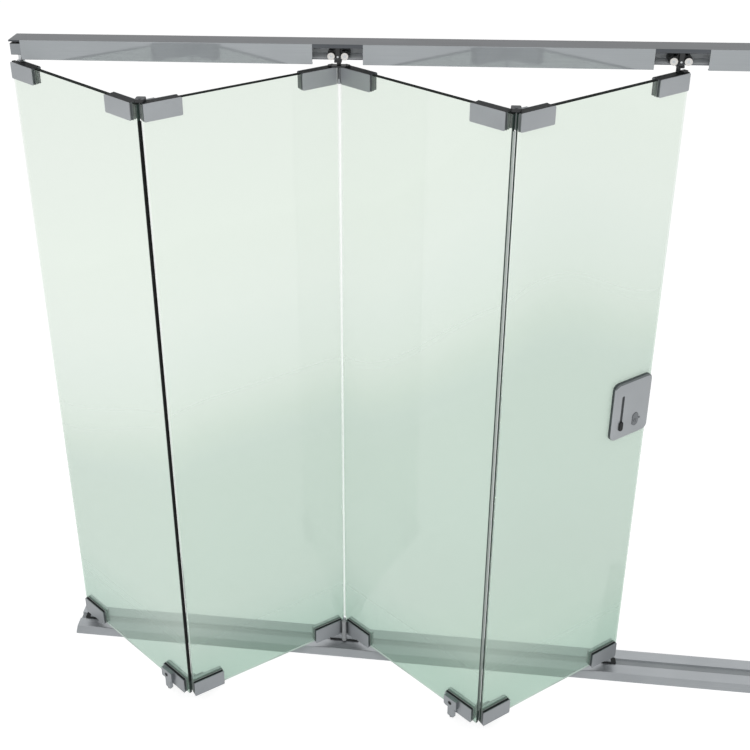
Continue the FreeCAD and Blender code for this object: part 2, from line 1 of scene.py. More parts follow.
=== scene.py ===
"""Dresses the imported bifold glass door: panes, clamp fittings, hinges, tracks, carriages and lock.

Sizes are millimetres in the door's own frame. X runs along the tracks, Y from the outside to
the inside, Z up from the floor. Meshes are made in metres.
"""

import logging
import math
from collections.abc import Callable, Iterator, Sequence
from contextlib import contextmanager
from dataclasses import dataclass
from enum import Enum
from typing import Self

import bmesh
import bpy
from mathutils import Matrix, Vector

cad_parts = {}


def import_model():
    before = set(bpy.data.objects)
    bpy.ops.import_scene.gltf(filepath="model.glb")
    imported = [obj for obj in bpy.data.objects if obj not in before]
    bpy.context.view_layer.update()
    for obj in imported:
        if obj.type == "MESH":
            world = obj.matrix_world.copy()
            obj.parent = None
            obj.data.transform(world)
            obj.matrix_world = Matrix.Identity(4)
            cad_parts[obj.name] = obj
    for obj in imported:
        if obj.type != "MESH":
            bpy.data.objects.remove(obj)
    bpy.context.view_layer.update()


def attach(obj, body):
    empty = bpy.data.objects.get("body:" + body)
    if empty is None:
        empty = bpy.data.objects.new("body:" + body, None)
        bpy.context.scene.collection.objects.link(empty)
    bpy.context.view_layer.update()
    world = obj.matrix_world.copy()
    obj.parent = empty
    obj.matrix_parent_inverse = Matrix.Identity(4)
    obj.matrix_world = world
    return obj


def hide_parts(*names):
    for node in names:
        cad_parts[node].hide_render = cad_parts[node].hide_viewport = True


log = logging.getLogger("door")

MILLIMETRE = 0.001
BODY = "root"
# Places less than this many millimetres apart count as one.
TOUCH = 0.05
# The least cosine between a direction and an axis that it counts as lying along, and the same
# for a face that may lean, such as an arris.
STRAIGHT = 0.999
LEANING = 0.6

Point = tuple[float, float, float]
Outline = Sequence[tuple[float, float]]
Test = Callable[[Vector, Vector], bool]


class Axis(Enum):
    """A direction of the door's frame."""

    X = 0
    Y = 1
    Z = 2

    def vector(self) -> Vector:
        """Return the unit vector along this axis."""
        return Vector([1.0 if index == self.value else 0.0 for index in range(3)])

    def point(self, along: float, first: float, second: float) -> Point:
        """Return a point by its place along the axis and its other two coordinates.

        Args:
            along: The coordinate along the axis.
            first: The first of the other two.
            second: The second of them.

        Returns:
            The point.
        """
        others = [first, second]
        others.insert(self.value, along)
        return (others[0], others[1], others[2])


@dataclass(frozen=True)
class Frame:
    """Where a sub-assembly's own axes lie in the door: a base point and a turn about Z."""

    x: float = 0.0
    y: float = 0.0
    turn: float = 0.0

    def matrix(self) -> Matrix:
        """Return the frame's place in metres."""
        moved = Matrix.Translation(Vector((self.x, self.y, 0.0)) * MILLIMETRE)
        return moved @ Matrix.Rotation(math.radians(self.turn), 4, "Z")


# Shaping


def along(axis: Axis, least: float = STRAIGHT) -> Test:
    """Return a test that picks what runs along an axis or faces it, either way."""
    return lambda centre, way: abs(way[axis.value]) > least


def across(axis: Axis, most: float) -> Test:
    """Return a test that picks what doesn't run along an axis or face it."""
    return lambda centre, way: abs(way[axis.value]) < most


def facing(axis: Axis, sign: float, least: float = STRAIGHT) -> Test:
    """Return a test that picks the faces which look one way along an axis."""
    return lambda centre, way: way[axis.value] * sign > least


def lying_at(axis: Axis, *places: float) -> Test:
    """Return a test that picks what has its centre at one of the places along an axis."""
    return lambda centre, way: any(abs(centre[axis.value] - place) < TOUCH for place in places)


def beyond(axis: Axis, place: float) -> Test:
    """Return a test that picks what has its centre past a place along an axis."""
    return lambda centre, way: centre[axis.value] > place


def between(axis: Axis, low: float, high: float) -> Test:
    """Return a test that picks what has its centre between two places along an axis."""
    return lambda centre, way: low < centre[axis.value] < high


def all_of(*tests: Test) -> Test:
    """Return a test that holds where all the tests hold."""
    return lambda centre, way: all(test(centre, way) for test in tests)


def any_of(*tests: Test) -> Test:
    """Return a test that holds where one of the tests holds."""
    return lambda centre, way: any(test(centre, way) for test in tests)


def anything(centre: Vector, way: Vector) -> bool:
    """Pick every element."""
    return True


class Workpiece:
    """One mesh while it is shaped with Blender's modelling tools, in millimetres."""

    def __init__(self, obj: bpy.types.Object, name: str) -> None:
        """Take over a new primitive, with its place in its mesh.

        Args:
            obj: The primitive.
            name: The piece's name.
        """
        self.obj = obj
        obj.name = name
        obj.data.name = name
        self.apply_place()

    @classmethod
    def block(cls, name: str, low: Point, high: Point) -> Self:
        """Start from a box between two corners.

        Args:
            name: The piece's name.
            low: The lowest corner.
            high: The highest corner.

        Returns:
            The new workpiece.
        """
        deselect()
        first, last = Vector(low) * MILLIMETRE, Vector(high) * MILLIMETRE
        bpy.ops.mesh.primitive_cube_add(size=1, location=(first + last) / 2, scale=last - first)
        return cls(bpy.context.object, name)

    @classmethod
    def section(cls, name: str, outline: Outline, axis: Axis, start: float,
                end: float) -> Self:
        """Draw a closed outline square to an axis and extrude it along the axis.

        Args:
            name: The piece's name.
            outline: The corners, in the order of the other two axes.
            axis: The extrusion's direction.
            start: Where the extrusion starts.
            end: Where it ends.

        Returns:
            The new workpiece.
        """
        piece = cls._polygon(name, [axis.point(start, u, v) for u, v in outline], "NGON")
        with piece.editing("FACE", anything):
            way = axis.vector() * (end - start) * MILLIMETRE
            bpy.ops.mesh.extrude_region_move(TRANSFORM_OT_translate={"value": way})
            bpy.ops.mesh.select_all(action="SELECT")
            bpy.ops.mesh.normals_make_consistent(inside=False)
        return piece

    @classmethod
    def turned(cls, name: str, profile: Outline, axis: Axis, centre: tuple[float, float],
               steps: int = 40) -> Self:
        """Spin a closed profile round an axis.

        Args:
            name: The piece's name.
            profile: The corners, each as a radius and a place along the axis.
            axis: The axis that the profile turns about.
            centre: The axis's place, as the other two coordinates in order.
            steps: How many faces the turn has.

        Returns:
            The new workpiece.
        """
        points = [axis.point(place, centre[0] + radius, centre[1]) for radius, place in profile]
        piece = cls._polygon(name, points, "NOTHING")
        with piece.editing("VERT", anything):
            bpy.ops.mesh.spin(
                steps=steps, angle=math.tau, axis=axis.vector(),
                center=Vector(axis.point(0.0, *centre)) * MILLIMETRE,
            )
            bpy.ops.mesh.select_all(action="SELECT")
            bpy.ops.mesh.remove_doubles(threshold=1e-6)
            bpy.ops.mesh.normals_make_consistent(inside=False)
        return piece

    @classmethod
    def pin(cls, name: str, axis: Axis, centre: tuple[float, float], radius: float, low: float,
            high: float, chamfer: float = 0.8) -> Self:
        """Turn a round pin with chamfered ends.

        Args:
            name: The piece's name.
            axis: The pin's direction.
            centre: The pin's place, as the other two coordinates in order.
            radius: The pin's radius.
            low: Where it starts.
            high: Where it ends.
            chamfer: The size of the chamfers.

        Returns:
            The new workpiece.
        """
        profile = [
            (0.0, low), (radius - chamfer, low), (radius, low + chamfer),
            (radius, high - chamfer), (radius - chamfer, high), (0.0, high),
        ]
        return cls.turned(name, profile, axis, centre)

    @classmethod
    def _polygon(cls, name: str, points: Sequence[Point], fill: str) -> Self:
        """Start from a circle primitive whose corners are moved to the given points.

        Args:
            name: The piece's name.
            points: Where the corners go.
            fill: How the circle is filled, NGON or NOTHING.

        Returns:
            The new workpiece.
        """
        deselect()
        bpy.ops.mesh.primitive_circle_add(vertices=len(points), fill_type=fill)
        piece = cls(bpy.context.object, name)
        for vertex, point in zip(piece.obj.data.vertices, points):
            vertex.co = Vector(point) * MILLIMETRE
        return piece

    def _take(self) -> None:
        """Make this the only selected and the active object."""
        deselect()
        self.obj.select_set(True)
        bpy.context.view_layer.objects.active = self.obj

    def apply_place(self) -> None:
        """Move the object's place into its mesh."""
        self._take()
        bpy.ops.object.transform_apply(location=True, rotation=True, scale=True)

    @contextmanager
    def editing(self, mode: str, test: Test) -> Iterator[None]:
        """Enter edit mode with the elements selected that a test picks.

        Args:
            mode: VERT, EDGE or FACE.
            test: Called with an element's centre in millimetres and its normal or direction.

        Raises:
            ValueError: The test picks nothing.
        """
        self._take()
        bpy.ops.object.mode_set(mode="EDIT")
        bpy.ops.mesh.select_mode(type=mode)
        bpy.ops.mesh.select_all(action="DESELECT")
        mesh = bmesh.from_edit_mesh(self.obj.data)
        picked = 0
        for element in {"VERT": mesh.verts, "EDGE": mesh.edges, "FACE": mesh.faces}[mode]:
            if mode == "EDGE":
                ends = [vertex.co for vertex in element.verts]
                centre, way = (ends[0] + ends[1]) / 2, (ends[1] - ends[0]).normalized()
            elif mode == "FACE":
                centre, way = element.calc_center_median(), element.normal
            else:
                centre, way = element.co, element.normal
            if test(centre / MILLIMETRE, way):
                element.select_set(True)
                picked += 1
        mesh.select_flush_mode()
        bmesh.update_edit_mesh(self.obj.data)
        if not picked:
            raise ValueError(f"{self.obj.name}: nothing was picked")
        yield
        bpy.ops.object.mode_set(mode="OBJECT")

    def bevel(self, test: Test, width: float, segments: int = 2) -> Self:
        """Round or chamfer the edges that a test picks.

        Args:
            test: Picks the edges.
            width: The bevel's width.
            segments: How many faces it has across.

        Returns:
            The piece.
        """
        with self.editing("EDGE", test):
            bpy.ops.mesh.bevel(offset=width * MILLIMETRE, segments=segments, affect="EDGES")
        return self

    def inset(self, test: Test, thickness: float, depth: float) -> Self:
        """Inset the faces that a test picks, and raise or sink them.

        Args:
            test: Picks the faces.
            thickness: The width of the frame that is left.
            depth: How far they are raised.

        Returns:
            The piece.
        """
        with self.editing("FACE", test):
            bpy.ops.mesh.inset(thickness=thickness * MILLIMETRE, depth=depth * MILLIMETRE)
        return self

    def score(self, axis: Axis, place: float) -> Self:
        """Add a line of edges round the piece.

        Args:
            axis: The axis that the line's plane is square to.
            place: Where along it the line lies.

        Returns:
            The piece.
        """
        way = axis.vector()
        with self.editing("FACE", anything):
            bpy.ops.mesh.bisect(plane_co=way * place * MILLIMETRE, plane_no=way)
        return self

    def cut(self, *cutters: Self) -> Self:
        """Take cutters out of the piece and throw them away.

        Args:
            cutters: What is taken out.

        Returns:
            The piece.
        """
        for cutter in cutters:
            change = self.obj.modifiers.new("cut", "BOOLEAN")
            change.operation = "DIFFERENCE"
            change.object = cutter.obj
            self._take()
            bpy.ops.object.modifier_apply(modifier=change.name)
            bpy.data.objects.remove(cutter.obj)
        return self

    def join(self, *others: Self) -> Self:
        """Take other pieces into this one.

        Args:
            others: The pieces that it takes in.

        Returns:
            The piece.
        """
        self._take()
        for other in others:
            other.obj.select_set(True)
        if others:
            bpy.ops.object.join()
        return self

    @classmethod
    def joined(cls, name: str, pieces: Sequence[Self]) -> Self:
        """Join pieces into the first of them.

        Args:
            name: The whole's name.
            pieces: What is joined.

        Returns:
            The whole.
        """
        whole = pieces[0].join(*pieces[1:])
        whole.obj.name = name
        return whole

    def copy(self, name: str) -> Self:
        """Return a copy with its own mesh.

        Args:
            name: The copy's name.

        Returns:
            The copy.
        """
        twin = self.obj.copy()
        twin.data = self.obj.data.copy()
        bpy.context.scene.collection.objects.link(twin)
        return type(self)(twin, name)

    def place(self, frame: Frame) -> Self:
        """Move the piece from a sub-assembly's own axes to the door's.

        Args:
            frame: Where those axes lie.

        Returns:
            The piece.
        """
        self.obj.matrix_world = frame.matrix()
        self.apply_place()
        return self

    def move(self, x: float, y: float, z: float) -> Self:
        """Move the piece.

        Args:
            x: How far along X.
            y: How far along Y.
            z: How far along Z.

        Returns:
            The piece.
        """
        self.obj.location = Vector((x, y, z)) * MILLIMETRE
        self.apply_place()
        return self

    def dress(self, material: bpy.types.Material) -> Self:
        """Give the whole piece one material.

        Args:
            material: The material.

        Returns:
            The piece.
        """
        self.obj.data.materials.clear()
        self.obj.data.materials.append(material)
        return self

    def dress_faces(self, material: bpy.types.Material, test: Test) -> Self:
        """Give another material to the faces that a test picks.

        Args:
            material: The material.
            test: Picks the faces.

        Returns:
            The piece.
        """
        self.obj.data.materials.append(material)
        slot = len(self.obj.data.materials) - 1
        for face in self.obj.data.polygons:
            if test(face.center / MILLIMETRE, face.normal):
                face.material_index = slot
        return self

    def smooth(self, degrees: float = 32.0) -> Self:
        """Shade the piece smooth except at sharp edges, and keep its large faces flat.

        Args:
            degrees: The least angle of a sharp edge.

        Returns:
            The piece.
        """
        self._take()
        bpy.ops.object.shade_smooth_by_angle(angle=math.radians(degrees))
        change = self.obj.modifiers.new("flat_faces", "WEIGHTED_NORMAL")
        change.keep_sharp = True
        bpy.ops.object.modifier_apply(modifier=change.name)
        return self

    def hand_in(self, slot: str, *nodes: str) -> Self:
        """Fix the finished piece to the door and report it.

        Args:
            slot: Not used.
            nodes: The CAD nodes that the piece stands for.

        Returns:
            The piece.
        """
        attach(self.obj, BODY)
        if nodes:
            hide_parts(*nodes)
        log.info("%s: %d faces", self.obj.name, len(self.obj.data.polygons))
        return self

    def install(self, frame: Frame, slot: str, *nodes: str) -> Self:
        """Place a dressed piece in the door, smooth it and hand it in."""
        return self.place(frame).smooth().hand_in(slot, *nodes)


def deselect() -> None:
    """Deselect every object."""
    bpy.ops.object.select_all(action="DESELECT")


def plate(name: str, low: Point, high: Point, axis: Axis, radius: float,
          rim: float) -> Workpiece:
    """Return a flat block with rounded corners and softened rims.

    Args:
        name: The piece's name.
        low: The lowest corner.
        high: The highest corner.
        axis: The direction that the plate faces.
        radius: The radius of its four corners.
        rim: The width of the bevel round both faces.

    Returns:
        The new workpiece.
    """
    piece = Workpiece.block(name, low, high).bevel(along(axis), radius, segments=5)
    return piece.bevel(lying_at(axis, low[axis.value], high[axis.value]), rim)


# Finishes


def linear(colour: str) -> tuple[float, float, float, float]:
    """Turn an sRGB hex colour to linear values.

    Args:
        colour: The colour, such as #CBDFD2.

    Returns:
        Red, green, blue and a full alpha.
    """
    channels = [int(colour[index:index + 2], 16) / 255 for index in (1, 3, 5)]
    low, slope = 0.04045, 12.92
    red, green, blue = (
        c / slope if c <= low else ((c + 0.055) / 1.055) ** 2.4 for c in channels
    )
    return (red, green, blue, 1.0)


def add_node(tree: bpy.types.NodeTree, kind: str, feeds: dict | None = None,
             **settings: object) -> bpy.types.Node:
    """Add a node with its settings, values and links.

    Args:
        tree: The node tree.
        kind: The node's type, without the word ShaderNode.
        feeds: Input sockets, each with a value or with the output that feeds it.
        settings: The node's own fields.

    Returns:
        The new node.
    """
    node = tree.nodes.new(f"ShaderNode{kind}")
    for name, value in settings.items():
        setattr(node, name, value)
    for socket, value in (feeds or {}).items():
        if isinstance(value, bpy.types.NodeSocket):
            tree.links.new(value, node.inputs[socket])
        else:
            node.inputs[socket].default_value = value
    return node


def new_material(name: str) -> tuple[bpy.types.Material, bpy.types.NodeTree]:
    """Return an empty material and its node tree.

    Args:
        name: The material's name.

    Returns:
        The material and its tree.
    """
    material = bpy.data.materials.new(name)
    material.use_nodes = True
    material.node_tree.nodes.clear()
    return material, material.node_tree


class Grain(Enum):
    """How a pattern lies on a surface: the length of its marks along X, Y and Z in millimetres."""

    DRAWN = (260.0, 2.2, 2.2)
    BLASTED = (2.4, 2.4, 2.4)
    MOULDED = (3.2, 3.2, 3.2)
    TURNED = (1.4, 9.0, 1.4)
    FLOATED = (420.0, 420.0, 900.0)


@dataclass(frozen=True)
class Finish:
    """An opaque finish with a fine pattern in its colour, gloss and relief.

    Attributes:
        name: The material's common name and how its surface was made.
        light: The paler colour.
        dark: The darker colour.
        grain: How the marks lie.
        roughness: The middle roughness.
        spread: How much the marks change the roughness.
        relief: The depth of the marks in millimetres.
        metallic: 1 for bare metal.
        specular: How strongly a surface that isn't metal mirrors its surroundings.
        cloud: The size in millimetres of broad changes in tone.
        cloud_detail: How many finer layers those changes have.
        detail: How many finer layers the marks have.
        breakup: How strong the finer layers of the marks are.
        tones: The values of marks times clouds that give the dark and the light colour.
        gloss: The values of the marks that give the least and the greatest roughness.
    """

    name: str
    light: str
    dark: str
    grain: Grain
    roughness: float
    spread: float = 0.08
    relief: float = 0.02
    metallic: float = 0.0
    specular: float = 0.5
    cloud: float = 180.0
    cloud_detail: float = 2.0
    detail: float = 3.0
    breakup: float = 0.55
    tones: tuple[float, float] = (0.12, 0.42)
    gloss: tuple[float, float] = (0.3, 0.7)

    def build(self) -> bpy.types.Material:
        """Return the material."""
        material, tree = new_material(self.name)
        place = add_node(tree, "TexCoord").outputs["Object"]
        stretch = [1.0 / (length * MILLIMETRE) for length in self.grain.value]
        marks_at = add_node(tree, "Mapping", {"Vector": place, "Scale": stretch})
        marks = add_node(tree, "TexNoise", {
            "Vector": marks_at.outputs["Vector"], "Scale": 1.0, "Detail": self.detail,
            "Roughness": self.breakup,
        })
        clouds = add_node(tree, "TexNoise", {
            "Vector": place, "Scale": 1.0 / (self.cloud * MILLIMETRE),
            "Detail": self.cloud_detail,
        })
        blend = add_node(tree, "Math", {
            0: marks.outputs["Fac"], 1: clouds.outputs["Fac"],
        }, operation="MULTIPLY")
        share = add_node(tree, "MapRange", {
            "Value": blend.outputs["Value"], "From Min": self.tones[0],
            "From Max": self.tones[1],
        })
        colour = add_node(tree, "Mix", {
            "Factor": share.outputs["Result"], 6: linear(self.dark), 7: linear(self.light),
        }, data_type="RGBA")
        gloss = add_node(tree, "MapRange", {
            "Value": marks.outputs["Fac"], "From Min": self.gloss[0], "From Max": self.gloss[1],
            "To Min": self.roughness - self.spread, "To Max": self.roughness + self.spread,
        })
        bump = add_node(tree, "Bump", {
            "Height": marks.outputs["Fac"], "Distance": self.relief * MILLIMETRE, "Strength": 1.0,
        })
        shader = add_node(tree, "BsdfPrincipled", {
            "Base Color": colour.outputs[2], "Roughness": gloss.outputs["Result"],
            "Metallic": self.metallic, "Specular IOR Level": self.specular,
            "Normal": bump.outputs["Normal"],
        })
        add_node(tree, "OutputMaterial", {"Surface": shader.outputs["BSDF"]})
        return material


@dataclass(frozen=True)
class Tone:
    """The glass's colour at one height, as an sRGB hex value."""

    height: float
    colour: str


@dataclass(frozen=True)
class Sweep:
    """A stretch along X over which the glass's tones rise by an amount."""

    start: float
    end: float
    rise: float


@dataclass(frozen=True)
class TintedSheet:
    """Pale green clear glass or vinyl; painted reflection and shade darken and veil it lower down.

    Attributes:
        name: The material's common name and how it was made.
        tones: The colours, from the lowest height up.
        sweeps: Where along the door the tones rise.
        clear_high: The share of light that passes through one face near the top.
        clear_low: The same lower down.
        fade: The heights between which it changes.
        foot: The heights below which it turns clearer again.
        foot_clear: How much clearer one face is at the foot.
        foot_tint: The colour that the tones are multiplied by at the foot.
        ior: The refractive index.
        roughness: How much the surface scatters what passes through.
        ripple: The depth in millimetres of the slow waves that tempering leaves.
    """

    name: str
    tones: tuple[Tone, ...]
    sweeps: tuple[Sweep, ...] = (
        Sweep(-1450.0, -700.0, 300.0), Sweep(-250.0, 400.0, 530.0), Sweep(420.0, 830.0, -200.0),
    )
    clear_high: float = 0.95
    clear_low: float = 0.62
    fade: tuple[float, float] = (800.0, 1750.0)
    foot: tuple[float, float] = (120.0, 480.0)
    foot_clear: float = 0.0
    foot_tint: str = "#FFFFFF"
    ior: float = 1.3
    roughness: float = 0.0
    ripple: float = 0.004

    def build(self) -> bpy.types.Material:
        """Return the material."""
        material, tree = new_material(self.name)
        place = add_node(tree, "TexCoord").outputs["Object"]
        axes = add_node(tree, "SeparateXYZ", {"Vector": place}).outputs
        level = axes["Z"]
        for sweep in self.sweeps:
            rise = add_node(tree, "MapRange", {
                "Value": axes["X"], "From Min": sweep.start * MILLIMETRE,
                "From Max": sweep.end * MILLIMETRE, "To Max": sweep.rise * MILLIMETRE,
            }, interpolation_type="SMOOTHSTEP")
            level = add_node(tree, "Math", {
                0: level, 1: rise.outputs["Result"],
            }, operation="SUBTRACT").outputs["Value"]
        low, high = self.tones[0].height, self.tones[-1].height
        share = add_node(tree, "MapRange", {
            "Value": level, "From Min": low * MILLIMETRE, "From Max": high * MILLIMETRE,
        })
        ramp_shade = add_node(tree, "ValToRGB", {"Fac": share.outputs["Result"]})
        stops = ramp_shade.color_ramp.elements
        while len(stops) < len(self.tones):
            stops.new(0.5)
        for stop, tone in zip(stops, self.tones):
            stop.position = (tone.height - low) / (high - low)
            stop.color = linear(tone.colour)
        clear = add_node(tree, "MapRange", {
            "Value": level, "From Min": self.fade[0] * MILLIMETRE,
            "From Max": self.fade[1] * MILLIMETRE,
            "To Min": self.clear_low, "To Max": self.clear_high,
        })
        near_floor = add_node(tree, "MapRange", {
            "Value": axes["Z"], "From Min": self.foot[1] * MILLIMETRE,
            "From Max": self.foot[0] * MILLIMETRE,
        }, interpolation_type="SMOOTHSTEP")
        clearer = add_node(tree, "Math", {
            0: near_floor.outputs["Result"], 1: self.foot_clear, 2: clear.outputs["Result"],
        }, operation="MULTIPLY_ADD")
        tint = add_node(tree, "Mix", {
            "Factor": near_floor.outputs["Result"], 6: ramp_shade.outputs["Color"],
            7: linear(self.foot_tint),
        }, data_type="RGBA", blend_type="MULTIPLY")
        stretch = [1.0 / (length * MILLIMETRE) for length in Grain.FLOATED.value]
        waves_at = add_node(tree, "Mapping", {"Vector": place, "Scale": stretch})
        waves = add_node(tree, "TexNoise", {
            "Vector": waves_at.outputs["Vector"], "Scale": 1.0, "Detail": 0.0,
        })
        bump = add_node(tree, "Bump", {
            "Height": waves.outputs["Fac"], "Distance": self.ripple * MILLIMETRE,
            "Strength": 1.0,
        })
        shader = add_node(tree, "BsdfPrincipled", {
            "Base Color": tint.outputs[2], "Roughness": self.roughness, "IOR": self.ior,
            "Transmission Weight": clearer.outputs["Value"], "Normal": bump.outputs["Normal"],
        })
        add_node(tree, "OutputMaterial", {"Surface": shader.outputs["BSDF"]})
        return material


class Stock:
    """Every finish of the door, each built once."""

    def __init__(self) -> None:
        """Build the materials."""
        # Toughened glass, green from its iron; painted reflection darkens and clouds it lower down.
        self.glass = TintedSheet("toughened_float_glass", (
            Tone(-300.0, "#CBDFD2"), Tone(0.0, "#CFE0D5"), Tone(300.0, "#D2E3D8"),
            Tone(700.0, "#D5E5DA"), Tone(850.0, "#D7E6DC"), Tone(950.0, "#DBE9DE"),
            Tone(1050.0, "#E1EDE3"), Tone(1150.0, "#E4EFE6"), Tone(1300.0, "#E5EFE7"),
            Tone(1450.0, "#E6EFE7"), Tone(1700.0, "#E3ECE3"), Tone(2150.0, "#E4ECE4"),
        ), foot_clear=0.16, foot_tint="#E6EEEC").build()
        # Clear vinyl between two panes, a little milkier than the glass.
        # Painted shade darkens it lower down, as on the glass.
        self.clear_seal = TintedSheet("clear_extruded_vinyl", (
            Tone(-300.0, "#E8F1EC"), Tone(720.0, "#ECF4EF"), Tone(1250.0, "#F6FAF7"),
            Tone(2150.0, "#FCFDFC"),
        ), clear_low=0.86, ior=1.05).build()
        # Polished edges show the glass's depth, dark where they are seen end on.
        self.dark_edge = Finish("polished_glass_edge", "#3A4943", "#2A3833", Grain.MOULDED,
                                0.3, spread=0.05, specular=0.3).build()
        # Black strip of painted shade on the panes' top edges: matt, so it stays dark at any angle.
        self.top_edge_shade = Finish("black_top_edge_painted_shade", "#222725", "#181C1A", Grain.MOULDED,
                                  0.7, specular=0.1).build()
        # Ground edges scatter what passes through them and look pale.
        # Painted shade darkens them lower down; on a dark edge's front arris they are a painted
        # highlight.
        self.pale_edge = TintedSheet("ground_glass_edge", (
            Tone(-300.0, "#E2EEE6"), Tone(900.0, "#EAF4ED"), Tone(2150.0, "#FAFCFA"),
        ), clear_high=0.96, clear_low=0.86, ior=1.06, roughness=0.4).build()
        # The bottom edges are honed matt and catch the light like a white line.
        self.foot_edge = TintedSheet("honed_glass_edge", (
            Tone(-300.0, "#F2F8F4"), Tone(2150.0, "#F6FAF8"),
        ), sweeps=(), clear_high=0.3, clear_low=0.3, ior=1.06, roughness=0.4).build()
        # Satin anodised caps: blasted, so they are even and soft.
        self.satin = Finish("satin_anodised_aluminium", "#A9ADB0", "#9CA0A3", Grain.BLASTED,
                            0.4, metallic=0.6, relief=0.012).build()
        # A darker copy of the satin finish on lower and tucked-away parts: painted shade.
        self.satin_shaded = Finish("satin_aluminium_painted_shade", "#93979A", "#878B8E", Grain.BLASTED,
                                0.38, metallic=1.0, relief=0.012).build()
        # The pillar is blasted dull, so it stays light between the dark fittings.
        self.pillar = Finish("bead_blasted_stainless_steel", "#A2A5A6", "#96999B",
                             Grain.BLASTED, 0.55, metallic=0.3, relief=0.01).build()
        # A darker grey painted as shade on the lock case's sides and on fitting bodies' ends.
        self.case_side = Finish("aluminium_sides_painted_shade", "#63676A", "#575B5E", Grain.BLASTED,
                                0.42, metallic=0.8, relief=0.01).build()
        # A mid grey painted as light and shade on fitting bodies' ends and on the lock's top.
        self.core = Finish("grey_painted_light_and_shade", "#7A8081", "#6C7172", Grain.BLASTED,
                           0.55, spread=0.05, metallic=0.6, relief=0.02).build()
        # Lacquer over the covers mirrors the panes faintly; the drawn lines show through it.
        self.cover = Finish("lacquered_drawn_aluminium", "#A6ABAE", "#9EA3A6", Grain.DRAWN,
                            0.08, spread=0.02, metallic=0.17, relief=0.0005).build()
        # Drawn and anodised extrusions: faint lines along their length.
        self.rail = Finish("grey_anodised_aluminium", "#585B5F", "#4F5256", Grain.DRAWN,
                           0.32, spread=0.04, metallic=1.0, relief=0.004).build()
        self.track = Finish("mill_anodised_aluminium", "#B3B7BA", "#A8ACAF", Grain.DRAWN,
                            0.38, spread=0.04, metallic=0.8, relief=0.004).build()
        # The sill's two ramps are a little darker than its top: painted shade on the slopes.
        self.ramp_shade = Finish("mill_aluminium_ramp_shade", "#A6AAAD", "#9A9EA1", Grain.DRAWN,
                           0.42, spread=0.05, metallic=0.8, relief=0.006).build()
        # Painted light: a pale finish inside the rail and on the bottom fittings' back halves.
        self.runway = Finish("pale_aluminium_painted_light", "#E2E5E7", "#D2D6D9", Grain.DRAWN,
                             0.5, spread=0.05, relief=0.004).build()
        # The groove is worn dull by the shoes that slide in it, and darkened as painted shade.
        self.groove = Finish("worn_mill_aluminium_and_painted_shade", "#9CA1A3", "#8D9295", Grain.DRAWN,
                             0.5, spread=0.05, metallic=0.2, relief=0.004).build()
        # Black powder coat: a fine orange peel.
        self.black_metal = Finish("black_powder_coated_steel", "#26282A", "#17181A",
                                  Grain.BLASTED, 0.42, relief=0.03).build()
        # Glass-filled nylon, moulded in black.
        self.black_plastic = Finish("black_moulded_nylon", "#242728", "#181A1B", Grain.MOULDED,
                                    0.6, relief=0.03, specular=0.25).build()
        # The slot's liner, the same nylon rubbed grey by the slider.
        self.slot_liner = Finish("rubbed_black_nylon", "#3C4042", "#303335", Grain.MOULDED,
                                 0.55, relief=0.02, specular=0.3).build()
        # Natural nylon wheels.
        self.nylon = Finish("white_turned_nylon", "#EDEBE8", "#DEDCD8", Grain.TURNED,
                            0.38, relief=0.02).build()
        # Ground and polished stainless steel.
        self.steel = Finish("turned_stainless_steel", "#C9CCCE", "#B4B7B9", Grain.TURNED,
                            0.24, metallic=1.0, relief=0.01).build()
        # The key's parts are nickel plated and brushed, a little darker than the case.
        self.key_metal = Finish("brushed_nickel_plate", "#787C7F", "#6A6D70", Grain.TURNED,
                                0.3, metallic=1.0, relief=0.01).build()
        # Black oxide on steel keeps some metal sheen.
        self.dark_steel = Finish("black_oxide_steel", "#4A4D50", "#35373A", Grain.BLASTED,
                                 0.34, metallic=1.0, relief=0.01).build()
        # Grey vinyl seal, smooth from the die.
        # Painted shade darkens it lower down and towards the floor.
        self.grey_seal = TintedSheet("grey_extruded_vinyl", (
            Tone(-300.0, "#B2BDB7"), Tone(520.0, "#C4CFC9"), Tone(1250.0, "#D2DCD6"),
            Tone(2150.0, "#D8E1DC"),
        ), sweeps=(), clear_high=0.35, clear_low=0.35, foot_clear=0.25, foot_tint="#DCE3DF",
            ior=1.05, roughness=0.2).build()
        # Black rubber seal, matt.
        self.black_seal = Finish("black_extruded_rubber", "#161918", "#0D0F0E", Grain.MOULDED,
                                 0.65, specular=0.15).build()
        # Grey gasket between metal and glass.
        self.gasket = Finish("grey_soft_gasket", "#8D9492", "#7C8381", Grain.MOULDED,
                             0.6).build()


# Sizes that the sub-assemblies share


